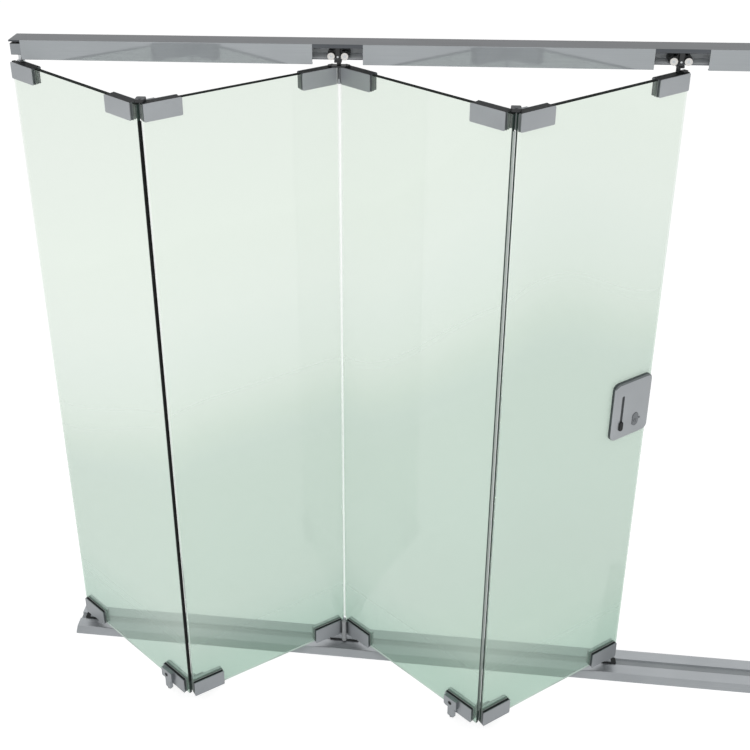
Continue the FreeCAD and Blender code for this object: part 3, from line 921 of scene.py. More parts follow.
@dataclass(frozen=True)
class Layout:
    """The door's main sizes and the frames worked out from them."""

    width: float = 700.0
    fold_first: float = 36.87
    fold_second: float = 38.04
    pair_gap: float = 6.0
    apex_y: float = 18.0
    pivot_inset: float = 41.0
    seal: float = 4.0
    half_glass: float = 6.0
    setback: float = 6.0
    track_top: float = 22.0
    glass_low: float = 64.0
    glass_high: float = 2509.0
    rail_low: float = 2543.0
    rail_high: float = 2596.0
    half_rail: float = 41.0
    half_patch: float = 19.0
    patch_length: float = 128.0
    top_patch: tuple[float, float] = (2453.0, 2511.0)
    bottom_patch: tuple[float, float] = (62.0, 130.0)
    inner_inset: float = 18.0
    outer_near: float = 6.0
    outer_far: float = 24.0
    pivot_plate: float = 6.0
    hanger_reach: float = 20.0
    guide_reach: float = 56.0
    carriage_foot: float = 2534.0
    shoe_top: float = 28.0

    def first_corner(self) -> tuple[float, float]:
        """Return the outward corner between panels one and two."""
        turn = math.radians(self.fold_first)
        return (self.width * (math.cos(turn) - 2), self.apex_y - self.width * math.sin(turn))

    def middle_x(self) -> float:
        """Return where the first pair ends."""
        return self.width * 2 * (math.cos(math.radians(self.fold_first)) - 1)

    def later_x(self) -> float:
        """Return where the second pair starts."""
        return self.middle_x() + self.pair_gap

    def second_corner(self) -> tuple[float, float]:
        """Return the outward corner between panels three and four."""
        turn = math.radians(self.fold_second)
        return (self.later_x() + self.width * math.cos(turn),
                self.apex_y - self.width * math.sin(turn))

    def panel(self, word: str) -> Frame:
        """Return a panel's frame: X runs along the panel, from its left edge.

        Args:
            word: The panel, one to four.

        Returns:
            The frame.
        """
        frames = {
            "one": Frame(-2 * self.width, self.apex_y, -self.fold_first),
            "two": Frame(*self.first_corner(), self.fold_first),
            "three": Frame(self.later_x(), self.apex_y, -self.fold_second),
            "four": Frame(*self.second_corner(), self.fold_second),
        }
        return frames[word]

    def pivot_x(self, place: str) -> float:
        """Return where a pivot or carriage stands along the tracks.

        Args:
            place: Which one: start, middle or end.

        Returns:
            Its X.
        """
        end = self.later_x() + 2 * self.width * math.cos(math.radians(self.fold_second))
        return {
            "start": -2 * self.width + self.pivot_inset,
            "middle": self.middle_x() + self.pair_gap / 2,
            "end": end - self.pivot_inset,
        }[place]


LAYOUT = Layout()


# Sub-assemblies


class Edge(Enum):
    """How a vertical edge of a pane is finished."""

    DARK = "dark"
    PALE = "pale"
    CLEAR = "clear"


@dataclass
class Pane:
    """A sheet of toughened glass with ground arrises and a strip of painted shade along its top.

    An edge that is left clear has no arris, as a seal covers it.
    """

    word: str
    left_edge: Edge
    right_edge: Edge
    arris: float = 1.8
    strip: float = 3.5

    def build(self, stock: Stock) -> None:
        """Cut the sheet, grind its edges and hang it in its place.

        Args:
            stock: The finishes.
        """
        low = (LAYOUT.setback, -LAYOUT.half_glass, LAYOUT.glass_low)
        high = (LAYOUT.width - LAYOUT.setback, LAYOUT.half_glass, LAYOUT.glass_high)
        sides = ((low[0], self.left_edge), (high[0], self.right_edge))
        ground = [side for side, edge in sides if edge is not Edge.CLEAR]
        pane = Workpiece.block(f"pane_{self.word}", low, high)
        pane.bevel(lying_at(Axis.X, *ground), self.arris, segments=1)
        strip_low = LAYOUT.glass_high - self.strip
        pane.score(Axis.Z, strip_low).dress(stock.glass)
        edges = {Edge.DARK: stock.dark_edge, Edge.PALE: stock.pale_edge,
                 Edge.CLEAR: stock.clear_seal}
        leftward, rightward = facing(Axis.X, -1.0, LEANING), facing(Axis.X, 1.0, LEANING)
        pane.dress_faces(stock.foot_edge, facing(Axis.Z, -1.0, LEANING))
        pane.dress_faces(edges[self.left_edge], leftward)
        pane.dress_faces(edges[self.right_edge], rightward)
        # A dark edge's front arris is painted pale as a highlight.
        if self.left_edge is Edge.DARK:
            pane.dress_faces(stock.pale_edge, all_of(leftward, facing(Axis.Y, -1.0, LEANING)))
        # The top edge and the strip below it are painted black as shade.
        pane.dress_faces(stock.top_edge_shade, beyond(Axis.Z, strip_low))
        pane.place(LAYOUT.panel(self.word)).hand_in("glass", f"glass_panel_{self.word}")
        # Lamps reach past clear glass, which keeps its shadow from turning black.
        pane.obj.visible_shadow = False
        pane.obj.visible_diffuse = False


@dataclass
class EdgeSeals:
    """Soft seals on the panes' edges that meet another pane.

    The two clear ones have a thin fin each, and the fins nearly meet.
    """

    low: float = 130.4
    high: float = 2452.6
    fin_reach: float = 4.5
    half_fin: float = 0.8
    rounding: float = 1.2

    def build(self, stock: Stock) -> None:
        """Extrude the four seals, each with softened corners.

        Args:
            stock: The finishes.
        """
        near, far, half = LAYOUT.setback, LAYOUT.width - LAYOUT.setback, LAYOUT.half_glass
        seals = (
            ("one", "end", far, far + LAYOUT.seal, stock.black_seal),
            ("two", "end", far, far + LAYOUT.seal, stock.clear_seal),
            ("three", "start", near - LAYOUT.seal, near, stock.clear_seal),
            ("three", "end", far, far + LAYOUT.seal, stock.grey_seal),
        )
        for index, (word, side, left, right, finish) in enumerate(seals):
            free, fixed = (right, left) if side == "end" else (left, right)
            outline = [(fixed, -half), (free, -half), (free, half), (fixed, half)]
            if finish is stock.clear_seal:
                tip = free + math.copysign(self.fin_reach, free - fixed)
                outline[2:2] = [(free, -self.half_fin), (tip, -self.half_fin),
                                (tip, self.half_fin), (free, self.half_fin)]
            seal = Workpiece.section(f"edge_seal_{word}_{side}", outline, Axis.Z, self.low,
                                     self.high)
            seal.bevel(all_of(along(Axis.Z), lying_at(Axis.X, free),
                              lying_at(Axis.Y, -half, half)), self.rounding, segments=3)
            seal.dress(finish)
            if finish is stock.grey_seal:
                seal.dress_faces(stock.dark_edge, facing(Axis.Y, -1.0))
            nodes = ["edge_seals"] if index == 0 else []
            seal.install(LAYOUT.panel(word), "seal", *nodes)
            if finish is stock.clear_seal:
                seal.obj.visible_shadow = False


@dataclass(frozen=True)
class Screw:
    """A socket head screw, drawn once and copied."""

    radius: float
    height: float
    socket: float
    sunk: float = 1.0
    edge: float = 0.5
    socket_floor: float = 0.2
    socket_top: float = 4.0

    def build(self) -> Workpiece:
        """Return the screw at the origin, its head facing up."""
        head = Workpiece.pin("screw", Axis.Z, (0.0, 0.0), self.radius, -self.sunk, self.height,
                             self.edge)
        corners = [math.radians(60 * turn) for turn in range(6)]
        hexagon = [(self.socket * math.cos(turn), self.socket * math.sin(turn))
                   for turn in corners]
        return head.cut(Workpiece.section("socket", hexagon, Axis.Z, self.socket_floor,
                                          self.socket_top))

    def set(self, name: str, places: Sequence[Point], tilt: Point,
            material: bpy.types.Material) -> Workpiece:
        """Return one piece with a screw at each place.

        Args:
            name: The piece's name.
            places: Where the heads stand.
            tilt: The turns about X, Y and Z in degrees that aim the heads.
            material: The screws' finish.

        Returns:
            The screws as one workpiece.
        """
        master = self.build()
        master.obj.rotation_euler = [math.radians(turn) for turn in tilt]
        master.apply_place()
        screws = [master.copy(f"{name}_{index}").move(*place)
                  for index, place in enumerate(places)]
        bpy.data.objects.remove(master.obj)
        return Workpiece.joined(name, screws).dress(material).smooth()


@dataclass
class Fitting:
    """A clamp fitting on a corner of a pane: a dark body under two satin caps."""

    level: str
    word: str
    side: str
    left: float
    cap: float = 2.6
    cap_edge: float = 0.7
    corner: float = 4.0
    gap: float = 0.7
    tuck: float = 0.3
    cut_past: float = 5.0
    end_lean: float = 0.7
    gasket: float = 1.3
    gasket_gap: float = 0.05
    gasket_drop: float = 1.0
    gasket_short: float = 0.5
    gasket_proud: float = 0.6
    gasket_rim: float = 0.3

    def build(self, stock: Stock) -> None:
        """Build the body, the caps and the gaskets.

        Args:
            stock: The finishes.
        """
        name = f"{self.level}_{self.word}_{self.side}"
        low, high = LAYOUT.top_patch if self.level == "top" else LAYOUT.bottom_patch
        right = self.left + LAYOUT.patch_length
        frame = LAYOUT.panel(self.word)
        back = LAYOUT.half_patch
        inner = back - self.cap
        caps = []
        for face, near, far, outside in (("front", -back, -inner, -back),
                                         ("back", inner, back, back)):
            cap = Workpiece.block(f"{name}_{face}", (self.left, near, low), (right, far, high))
            cap.bevel(along(Axis.Y), self.corner, segments=5)
            caps.append(cap.bevel(lying_at(Axis.Y, outside), self.cap_edge))
        whole = Workpiece.joined(f"{name}_caps", caps)
        # The bottom caps take the darker satin copy as painted shade.
        whole.dress(stock.satin if self.level == "top" else stock.satin_shaded)
        # The back caps' ends are painted black as shade.
        whole.dress_faces(stock.black_plastic,
                          all_of(beyond(Axis.Y, 0.0), along(Axis.X, self.end_lean)))
        whole.install(frame, "fitting", f"{self.level}_fitting_{self.word}_{self.side}")
        self._body(name, low, high, right, inner, stock).install(frame, "black_plastic")
        self._gaskets(name, low, high, right, stock).install(frame, "seal")

    def _body(self, name: str, low: float, high: float, right: float, inner: float,
              stock: Stock) -> Workpiece:
        """Return the clamp body, slotted for the glass.

        Args:
            name: The fitting's name.
            low: Where the fitting's height starts.
            high: Where it ends.
            right: Where its length ends.
            inner: Where its caps start, to both sides of the glass.
            stock: The finishes.

        Returns:
            The body.
        """
        body = Workpiece.block(
            f"{name}_body", (self.left + self.gap, -inner - self.tuck, low + self.gap),
            (right - self.gap, inner + self.tuck, high - self.gap),
        ).bevel(along(Axis.Y), self.corner - self.gap, segments=5)
        slot, past = LAYOUT.half_glass + self.gasket, self.cut_past
        start, end = (low - past, LAYOUT.glass_high) if self.level == "top" else (
            LAYOUT.glass_low, high + past)
        body.cut(Workpiece.block("slot", (self.left - past, -slot, start),
                                 (right + past, slot, end)))
        body.dress(stock.black_plastic)
        # The bottom body's back half is painted pale as painted light.
        if self.level == "bottom":
            body.dress_faces(stock.runway, beyond(Axis.Y, slot))
        # The body's ends are painted grey as light and shade, lighter where outward top ends catch
        # the light.
        outward = (self.word in ("one", "three")) == (self.side == "end")
        front_ends = stock.core if outward and self.level == "top" else stock.case_side
        ends = along(Axis.X, self.end_lean)
        body.dress_faces(front_ends, ends)
        return body.dress_faces(stock.core, all_of(beyond(Axis.Y, slot), ends))

    def _gaskets(self, name: str, low: float, high: float, right: float,
                 stock: Stock) -> Workpiece:
        """Return the two soft gaskets that hold the glass.

        Args:
            name: The fitting's name.
            low: Where the fitting's height starts.
            high: Where it ends.
            right: Where its length ends.
            stock: The finishes.

        Returns:
            The gaskets as one workpiece.
        """
        near = LAYOUT.half_glass + self.gasket_gap
        far = near + self.gasket
        top = (low - self.gasket_drop, LAYOUT.glass_high - self.gasket_short)
        bottom = (LAYOUT.glass_low + self.gasket_short, high + self.gasket_drop)
        start, end = top if self.level == "top" else bottom
        sheets = [
            plate(f"{name}_gasket_{face}", (self.left - self.gasket_proud, inside, start),
                  (right + self.gasket_proud, outside, end), Axis.Y, self.corner,
                  self.gasket_rim)
            for face, inside, outside in (("front", -far, -near), ("back", near, far))
        ]
        return Workpiece.joined(f"{name}_gaskets", sheets).dress(stock.gasket)


@dataclass
class CornerHinge:
    """The hinges behind a corner that folds outwards, at the top and the bottom."""

    corner: str
    left_panel: str
    right_panel: str
    fold: float
    at: tuple[float, float]
    barrel: float = 9.0
    standoff: float = 0.5
    leaf: float = 8.0
    leaf_corner: float = 2.0
    leaf_rim: float = 0.6
    leaf_inset: float = 0.2
    reach: float = 40.0
    split: float = 0.3
    screw: Screw = Screw(3.6, 1.0, 1.9)
    lower_screws: tuple[float, float] = (0.28, 0.68)
    upper_screws: tuple[float, float] = (0.32, 0.72)
    pin: float = 4.0
    pin_chamfer: float = 1.0
    pin_overhang: float = 7.0
    pin_short: float = 0.1
    half_cap: float = 15.0
    cap_front: float = 2.0
    cap_rise: float = 10.0
    cap_corner: float = 5.0
    cap_rim: float = 1.2
    bolt: float = 5.2
    bolt_y: float = 13.0
    bolt_sunk: float = 2.0
    bolt_rise: float = 1.0
    bolt_chamfer: float = 0.6

    def build(self, stock: Stock) -> None:
        """Build the leaves with their knuckles, the pins, the cap and the screws.

        Args:
            stock: The finishes.
        """
        back = LAYOUT.half_patch
        set_back = (back + self.barrel + self.standoff) / math.cos(math.radians(self.fold))
        slide = set_back * math.sin(math.radians(self.fold))
        centre = Frame(self.at[0], self.at[1] + set_back)
        for level, (low, high) in (("top", LAYOUT.top_patch), ("bottom", LAYOUT.bottom_patch)):
            middle = (low + high) / 2
            name = f"hinge_{self.corner}_{level}"
            halves = (
                ("lower", self.left_panel, LAYOUT.width - slide - self.reach,
                 low + self.leaf_inset, middle - self.split, self.lower_screws),
                ("upper", self.right_panel, slide,
                 middle + self.split, high - self.leaf_inset, self.upper_screws),
            )
            for half, word, left, start, end, shares in halves:
                leaf = plate(f"{name}_{half}", (left, back, start),
                             (left + self.reach, back + self.leaf, end), Axis.Y,
                             self.leaf_corner, self.leaf_rim)
                leaf.place(LAYOUT.panel(word))
                knuckle = Workpiece.pin("knuckle", Axis.Z, (0.0, 0.0), self.barrel, start, end)
                # The leaf takes the darker satin copy as painted shade.
                leaf.join(knuckle.place(centre)).dress(stock.satin_shaded).smooth()
                leaf.hand_in("black_metal")
                heads = [(left + self.reach * share, back + self.leaf, (start + end) / 2)
                         for share in shares]
                screws = self.screw.set(f"{name}_{half}_screws", heads, (-90.0, 0.0, 0.0),
                                        stock.steel)
                screws.place(LAYOUT.panel(word)).hand_in("steel")
            pin = Workpiece.pin(f"{name}_pin", Axis.Z, (0.0, 0.0), self.pin,
                                low - self.pin_overhang, high - self.pin_short,
                                self.pin_chamfer)
            pin.dress(stock.steel).install(centre, "steel")
        self._cap(set_back, stock)

    def _cap(self, set_back: float, stock: Stock) -> None:
        """Build the dark cap over the corner, with the head of its bolt.

        Args:
            set_back: How far the knuckles stand behind the corner.
            stock: The finishes.
        """
        low = LAYOUT.top_patch[1]
        high = low + self.cap_rise
        cap = plate(f"hinge_{self.corner}_cap", (-self.half_cap, self.cap_front, low),
                    (self.half_cap, set_back, high), Axis.Z, self.cap_corner, self.cap_rim)
        cap.dress(stock.black_metal).dress_faces(stock.dark_steel, facing(Axis.Z, 1.0))
        cap.install(Frame(*self.at), "black_metal")
        bolt = Workpiece.pin(f"hinge_{self.corner}_bolt", Axis.Z, (0.0, self.bolt_y), self.bolt,
                             high - self.bolt_sunk, high + self.bolt_rise, self.bolt_chamfer)
        bolt.dress(stock.dark_steel).install(Frame(*self.at), "dark_steel")


@dataclass
class InnerBarrels:
    """The barrels between the fittings of the middle corner."""

    radius: float = 6.5
    chamfer: float = 0.8
    groove: float = 0.9
    half_groove: float = 0.5
    half_rib: float = 2.0
    rib_proud: float = 0.8
    rib_tuck: float = 2.0
    rib_length: float = 40.0
    rib_drop: float = 0.5
    rib_edge: float = 0.6

    def build(self, stock: Stock) -> None:
        """Turn the two barrels, each with a groove at its knuckles, and the rib before one.

        Args:
            stock: The finishes.
        """
        radius, chamfer, half = self.radius, self.chamfer, self.half_groove
        centre = (LAYOUT.pivot_x("middle"), 0.0)
        barrels = []
        for level, (low, high) in (("top", LAYOUT.top_patch), ("bottom", LAYOUT.bottom_patch)):
            third = (high - low) / 3
            profile = [(0.0, low), (radius - chamfer, low), (radius, low + chamfer)]
            for joint in (low + third, high - third):
                profile += [(radius, joint - half), (radius - self.groove, joint),
                            (radius, joint + half)]
            profile += [(radius, high - chamfer), (radius - chamfer, high), (0.0, high)]
            barrel = Workpiece.turned(f"inner_barrel_{level}", profile, Axis.Z, centre)
            barrels.append(barrel.dress(stock.satin).smooth())
        top = LAYOUT.top_patch[1]
        rib = Workpiece.block(
            "barrel_rib", (centre[0] - self.half_rib, -radius - self.rib_proud,
                           top - self.rib_length),
            (centre[0] + self.half_rib, -radius + self.rib_tuck, top - self.rib_drop))
        rib.bevel(along(Axis.Z), self.rib_edge).dress(stock.black_plastic)
        rib.hand_in("black_plastic")
        barrels[1].hand_in("dark_steel")
        barrels[0].hand_in("dark_steel", "hinge_pins")


@dataclass
class HeadRail:
    """The head rail, open at the front, with a runway for the wheels."""

    half_length: float = 1379.0
    wall: float = 3.0
    lip: float = 13.0
    runway_front: float = -31.0
    notch: float = 0.9
    half_notch: float = 1.2
    notch_inset: float = 15.0
    rounding: float = 1.2
    runway_edge: float = 4.0
    relief_length: float = 40.0
    relief_wall: float = 0.5
    relief_drop: float = 5.0
    cut_past: float = 1.0
    lean: float = 0.9

    def build(self, stock: Stock) -> None:
        """Extrude the rail and round its edges.

        Args:
            stock: The finishes.
        """
        low, high, half = LAYOUT.rail_low, LAYOUT.rail_high, LAYOUT.half_rail
        wall, lip_low = self.wall, high - self.lip
        outline = [(self.runway_front, low), (half, low)]
        for height in (low + self.notch_inset, high - self.notch_inset):
            outline += [(half, height - self.half_notch), (half - self.notch, height),
                        (half, height + self.half_notch)]
        outline += [
            (half, high), (-half, high), (-half, lip_low), (-half + wall, lip_low),
            (-half + wall, high - wall), (half - wall, high - wall), (half - wall, low + wall),
            (half - wall - self.runway_edge, low + wall), (self.runway_front, low + wall),
        ]
        rail = Workpiece.section("rail", outline, Axis.X, -self.half_length, self.half_length)
        corners = [all_of(lying_at(Axis.Y, y), lying_at(Axis.Z, z)) for y, z in (
            (half, low), (half, high), (-half, high), (-half, lip_low))]
        rail.bevel(all_of(along(Axis.X), any_of(*corners)), self.rounding, segments=3)
        end, past = -self.half_length, self.cut_past
        rail.cut(Workpiece.block(
            "lip_relief", (end - past, -half - past, lip_low - past),
            (end + self.relief_length, -half + wall + self.relief_wall,
             high - self.relief_drop)))
        back_wall = all_of(facing(Axis.Y, -1.0, self.lean), beyond(Axis.Y, 0.0))
        hollow = all_of(
            between(Axis.Z, low + wall - TOUCH, high - wall + TOUCH),
            between(Axis.Y, -half - TOUCH, half - wall + TOUCH),
            any_of(back_wall, along(Axis.Z, self.lean)),
        )
        # The hollow inside the rail is painted pale as painted light.
        rail.dress(stock.rail).dress_faces(stock.runway, hollow)
        rail.smooth().hand_in("rail", "head_rail")


@dataclass
class RailCovers:
    """Three clip-on covers with gaps at the carriages."""

    half_length: float = 1339.0
    half_gap: float = 81.5
    wall: float = 3.0
    drop: float = 13.0
    turn_in: float = 9.0
    rounding: float = 1.3
    end_chamfer: float = 0.4

    def build(self, stock: Stock) -> None:
        """Extrude the covers and round their edges.

        Args:
            stock: The finishes.
        """
        back = -LAYOUT.half_rail
        front = back - self.wall
        low, high = LAYOUT.rail_low - self.drop, LAYOUT.rail_high
        middle, end = LAYOUT.pivot_x("middle"), LAYOUT.pivot_x("end")
        spans = {
            "left": (-self.half_length, middle - self.half_gap),
            "middle": (middle + self.half_gap, end - self.half_gap),
            "right": (end + self.half_gap, self.half_length),
        }
        for word, (start, stop) in spans.items():
            cover = Workpiece.section(f"cover_{word}", [
                (front, low), (back + self.turn_in, low), (back + self.turn_in, low + self.wall),
                (back, low + self.wall), (back, high), (front, high),
            ], Axis.X, start, stop)
            for height in (low, high):
                cover.bevel(all_of(along(Axis.X), lying_at(Axis.Z, height),
                                   lying_at(Axis.Y, front)), self.rounding, segments=3)
            cover.bevel(lying_at(Axis.X, start, stop), self.end_chamfer, segments=1)
            cover.dress(stock.cover).smooth().hand_in("cover", f"rail_cover_{word}")


@dataclass
class HeadPivot:
    """The fixed pivot in the rail's left end."""

    left: float = -1377.0
    right: float = -1315.0
    front: float = -38.0
    back: float = 36.0
    low: float = 2546.0
    high: float = 2584.0
    rounding: float = 1.4
    # The height of the black band painted on the block's top as shade.
    liner: float = 1.6
    pin: float = 8.0
    collar: float = 13.0
    collar_rise: float = 7.0
    collar_chamfer: float = 1.0

    def build(self, stock: Stock) -> None:
        """Build the block, its top painted black as shade, and the pin with its collar.

        Args:
            stock: The finishes.
        """
        block = Workpiece.block("pivot_block", (self.left, self.front, self.low),
                                (self.right, self.back, self.high))
        # The block takes the darker satin copy as painted shade.
        block.bevel(anything, self.rounding, segments=3).dress(stock.satin_shaded)
        block.dress_faces(stock.black_plastic, beyond(Axis.Z, self.high - self.liner))
        block.smooth().hand_in("rail", "head_pivot_block")
        foot, chamfer = LAYOUT.top_patch[1], self.collar_chamfer
        top = foot + self.collar_rise
        pin = Workpiece.turned("pivot_pin", [
            (0.0, foot), (self.collar, foot), (self.collar, top - chamfer),
            (self.collar - chamfer, top), (self.pin, top), (self.pin, self.low),
            (0.0, self.low),
        ], Axis.Z, (LAYOUT.pivot_x("start"), 0.0))
        pin.dress(stock.steel).smooth().hand_in("steel", "head_pivot_pin")


@dataclass
class Carriage:
    """A carriage: a black body between two pairs of nylon wheels."""

    word: str
    low: float = 2550.0
    crown: float = 2583.0
    half_crown: float = 6.0
    crown_chamfer: float = 3.0
    axle_height: float = 2554.3
    spacing: float = 22.0
    arch: float = 15.0
    arch_tuck: float = 1.0
    arch_turns: tuple[int, ...] = (165, 150, 135, 120, 105, 90, 75, 60)
    body_front: float = -22.3
    body_back: float = 27.0
    body_edge: float = 0.8
    half_neck: float = 7.0
    neck_edge: float = 1.0
    half_foot: float = 12.0
    foot_back: float = 12.0
    foot_high: float = 2542.0
    foot_corner: float = 3.0
    foot_rim: float = 0.8
    flange: float = 12.0
    flange_edge: float = 1.2
    flange_front: float = -36.3
    flange_back: float = -31.3
    flange_rim: float = 1.0
    dish: float = 1.4
    dish_floor: float = 7.2
    dish_rim: float = 8.2
    tread: float = 8.0
    tread_edge: float = 0.8
    tread_back: float = -23.3
    rear_front: float = 28.0
    rear_back: float = 36.0
    bore: float = 4.4
    axle: float = 4.2
    tip: float = 2.0
    stud: float = 2.6
    washer: float = 3.4
    bearing: float = 5.4
    hub_depths: tuple[float, float, float] = (0.2, 0.8, 1.0)
    wheel_steps: int = 48
    hub_steps: int = 32
    bolt: Screw = Screw(3.4, 1.2, 1.8)
    bolt_drop: float = 1.0

    def build(self, stock: Stock) -> None:
        """Build the body, the wheels with their bearings, and the bolts.

        Args:
            stock: The finishes.
        """
        frame = Frame(LAYOUT.pivot_x(self.word))
        self._body(stock).install(frame, "black_metal", f"carriage_{self.word}_body")
        wheels, hubs = [], []
        for side in (-self.spacing, self.spacing):
            wheels += self._wheels(side)
            hubs.append(self._hub(side))
        pairs = Workpiece.joined(f"wheels_{self.word}", wheels).dress(stock.nylon)
        pairs.install(frame, "white_nylon", f"carriage_{self.word}_wheels")
        axles = Workpiece.joined(f"hubs_{self.word}", hubs).dress(stock.steel)
        axles.install(frame, "steel")
        bolt = self.bolt.set(
            f"carriage_bolt_{self.word}",
            [(0.0, self.flange_front, self.axle_height - self.bolt_drop)],
            (90.0, 0.0, 0.0), stock.steel)
        bolt.place(frame).hand_in("steel")

    def _body(self, stock: Stock) -> Workpiece:
        """Return the body with arches over the wheels, its neck and its foot.

        Args:
            stock: The finishes.

        Returns:
            The body.
        """
        arcs = [(-self.spacing - self.arch + self.arch_tuck, self.low)]
        for angle in map(math.radians, self.arch_turns):
            arcs.append((-self.spacing + self.arch * math.cos(angle),
                         self.axle_height + self.arch * math.sin(angle)))
        arcs += [(-self.half_crown - self.crown_chamfer, self.crown - self.crown_chamfer),
                 (-self.half_crown, self.crown)]
        outline = arcs + [(-u, v) for u, v in reversed(arcs)]
        body = Workpiece.section(f"carriage_{self.word}", outline, Axis.Y, self.body_front,
                                 self.body_back)
        foot_low = LAYOUT.carriage_foot
        neck = Workpiece.block("neck", (-self.half_neck, self.flange_front, foot_low),
                               (self.half_neck, self.flange_back, self.crown))
        neck.bevel(anything, self.neck_edge)
        arm = Workpiece.block("arm", (-self.half_neck, self.flange_back - 1.0, self.low),
                              (self.half_neck, self.body_front + 1.0, self.crown))
        arm.bevel(along(Axis.Y), self.neck_edge)
        foot = plate("foot", (-self.half_foot, self.flange_front, foot_low),
                     (self.half_foot, self.foot_back, self.foot_high), Axis.Z,
                     self.foot_corner, self.foot_rim)
        body.bevel(lying_at(Axis.Y, self.body_front), self.body_edge)
        return body.join(neck, arm, foot).dress(stock.black_metal)

    def _wheels(self, side: float) -> list[Workpiece]:
        """Return the flanged front wheel and the plain rear wheel on one axle.

        Args:
            side: The axle's place along the carriage.

        Returns:
            The two wheels.
        """
        centre, edge, rim = (side, self.axle_height), self.tread_edge, self.flange_rim
        face = self.flange_front + self.dish
        front = Workpiece.turned("front_wheel", [
            (self.bore, face), (self.dish_floor, face), (self.dish_rim, self.flange_front),
            (self.flange - self.flange_edge, self.flange_front),
            (self.flange, self.flange_front + rim), (self.flange, self.flange_back - rim),
            (self.tread, self.flange_back), (self.tread, self.tread_back - edge),
            (self.tread - edge, self.tread_back), (self.bore, self.tread_back),
        ], Axis.Y, centre, self.wheel_steps)
        rear = Workpiece.turned("rear_wheel", [
            (self.bore, self.rear_front), (self.tread - edge, self.rear_front),
            (self.tread, self.rear_front + edge), (self.tread, self.rear_back - edge),
            (self.tread - edge, self.rear_back), (self.bore, self.rear_back),
        ], Axis.Y, centre, self.wheel_steps)
        return [front, rear]

    def _hub(self, side: float) -> Workpiece:
        """Return an axle with the bearing and its end at the front.

        Args:
            side: The axle's place along the carriage.

        Returns:
            The axle.
        """
        tip, stud, washer = [self.flange_front + depth for depth in self.hub_depths]
        face = self.flange_front + self.dish
        return Workpiece.turned("hub", [
            (0.0, tip), (self.tip, tip), (self.stud, stud), (self.washer, stud),
            (self.washer, washer), (self.bearing, washer), (self.bearing, face),
            (self.axle, face), (self.axle, self.rear_back), (0.0, self.rear_back),
        ], Axis.Y, (side, self.axle_height), self.hub_steps)


class Arm(Enum):
    """The panel that a pivot plate's arm lies on, and where along it the arm's outer end is."""

    ONE = ("one", LAYOUT.inner_inset)
    TWO = ("two", LAYOUT.width - LAYOUT.inner_inset)
    THREE = ("three", LAYOUT.inner_inset)
    FOUR = ("four", LAYOUT.width - LAYOUT.inner_inset)


@dataclass
class PivotPlate:
    """A plate screwed to the fittings at a pivot, with its pin: black where panels hang from it."""

    name: str
    node: str
    place: str
    arms: tuple[Arm, ...]
    low: float
    high: float
    pin_low: float
    pin_high: float
    reach: float
    hub: float = 0.0
    hanging: bool = True
    half_hanger: float = 9.0
    inset: float = 0.6
    corner: float = 3.0
    rim: float = 0.7
    screw: Screw = Screw(4.2, 1.2, 2.2)
    screw_sunk: float = 0.4
    short_screws: tuple[float, ...] = (0.5,)
    long_screws: tuple[float, ...] = (0.3, 0.72)
    hub_front: float = -16.0
    hub_back: float = 10.0
    hub_lift: float = 0.1
    hub_rim: float = 0.8
    pin: float = 7.0
    pin_chamfer: float = 0.6

    def build(self, stock: Stock) -> None:
        """Build the plate, the screws in it and the pin.

        Args:
            stock: The finishes.
        """
        pieces = []
        half = self.half_hanger if self.hanging else LAYOUT.half_patch - self.inset
        tilt = (0.0, 0.0, 0.0) if self.hanging else (180.0, 0.0, 0.0)
        level = self.high - self.screw_sunk if self.hanging else self.low + self.screw_sunk
        shares = self.short_screws if self.hanging else self.long_screws
        for arm in self.arms:
            word, edge = arm.value
            left = edge if arm in (Arm.ONE, Arm.THREE) else edge - self.reach
            piece = plate(f"{self.name}_{word}", (left, -half, self.low),
                          (left + self.reach, half, self.high), Axis.Z, self.corner, self.rim)
            pieces.append(piece.place(LAYOUT.panel(word)))
            screws = self.screw.set(
                f"{self.name}_screws_{word}",
                [(left + self.reach * share, 0.0, level) for share in shares],
                tilt, stock.dark_steel)
            screws.place(LAYOUT.panel(word)).hand_in("dark_steel")
        centre = LAYOUT.pivot_x(self.place)
        if self.hub:
            hub = plate(f"{self.name}_hub",
                        (-self.hub, self.hub_front, self.low + self.hub_lift),
                        (self.hub, self.hub_back, self.high + self.hub_lift), Axis.Z,
                        self.corner, self.hub_rim)
            pieces.append(hub.place(Frame(centre)))
        whole = Workpiece.joined(self.name, pieces)
        # Guide plates take the darker satin copy as painted shade.
        whole.dress(stock.black_metal if self.hanging else stock.satin_shaded).smooth()
        whole.hand_in("black_metal", self.node)
        pin = Workpiece.pin(f"{self.name}_pin", Axis.Z, (centre, 0.0), self.pin, self.pin_low,
                            self.pin_high, self.pin_chamfer)
        pin.dress(stock.black_metal if self.hanging else stock.steel).smooth()
        pin.hand_in("black_metal" if self.hanging else "steel")


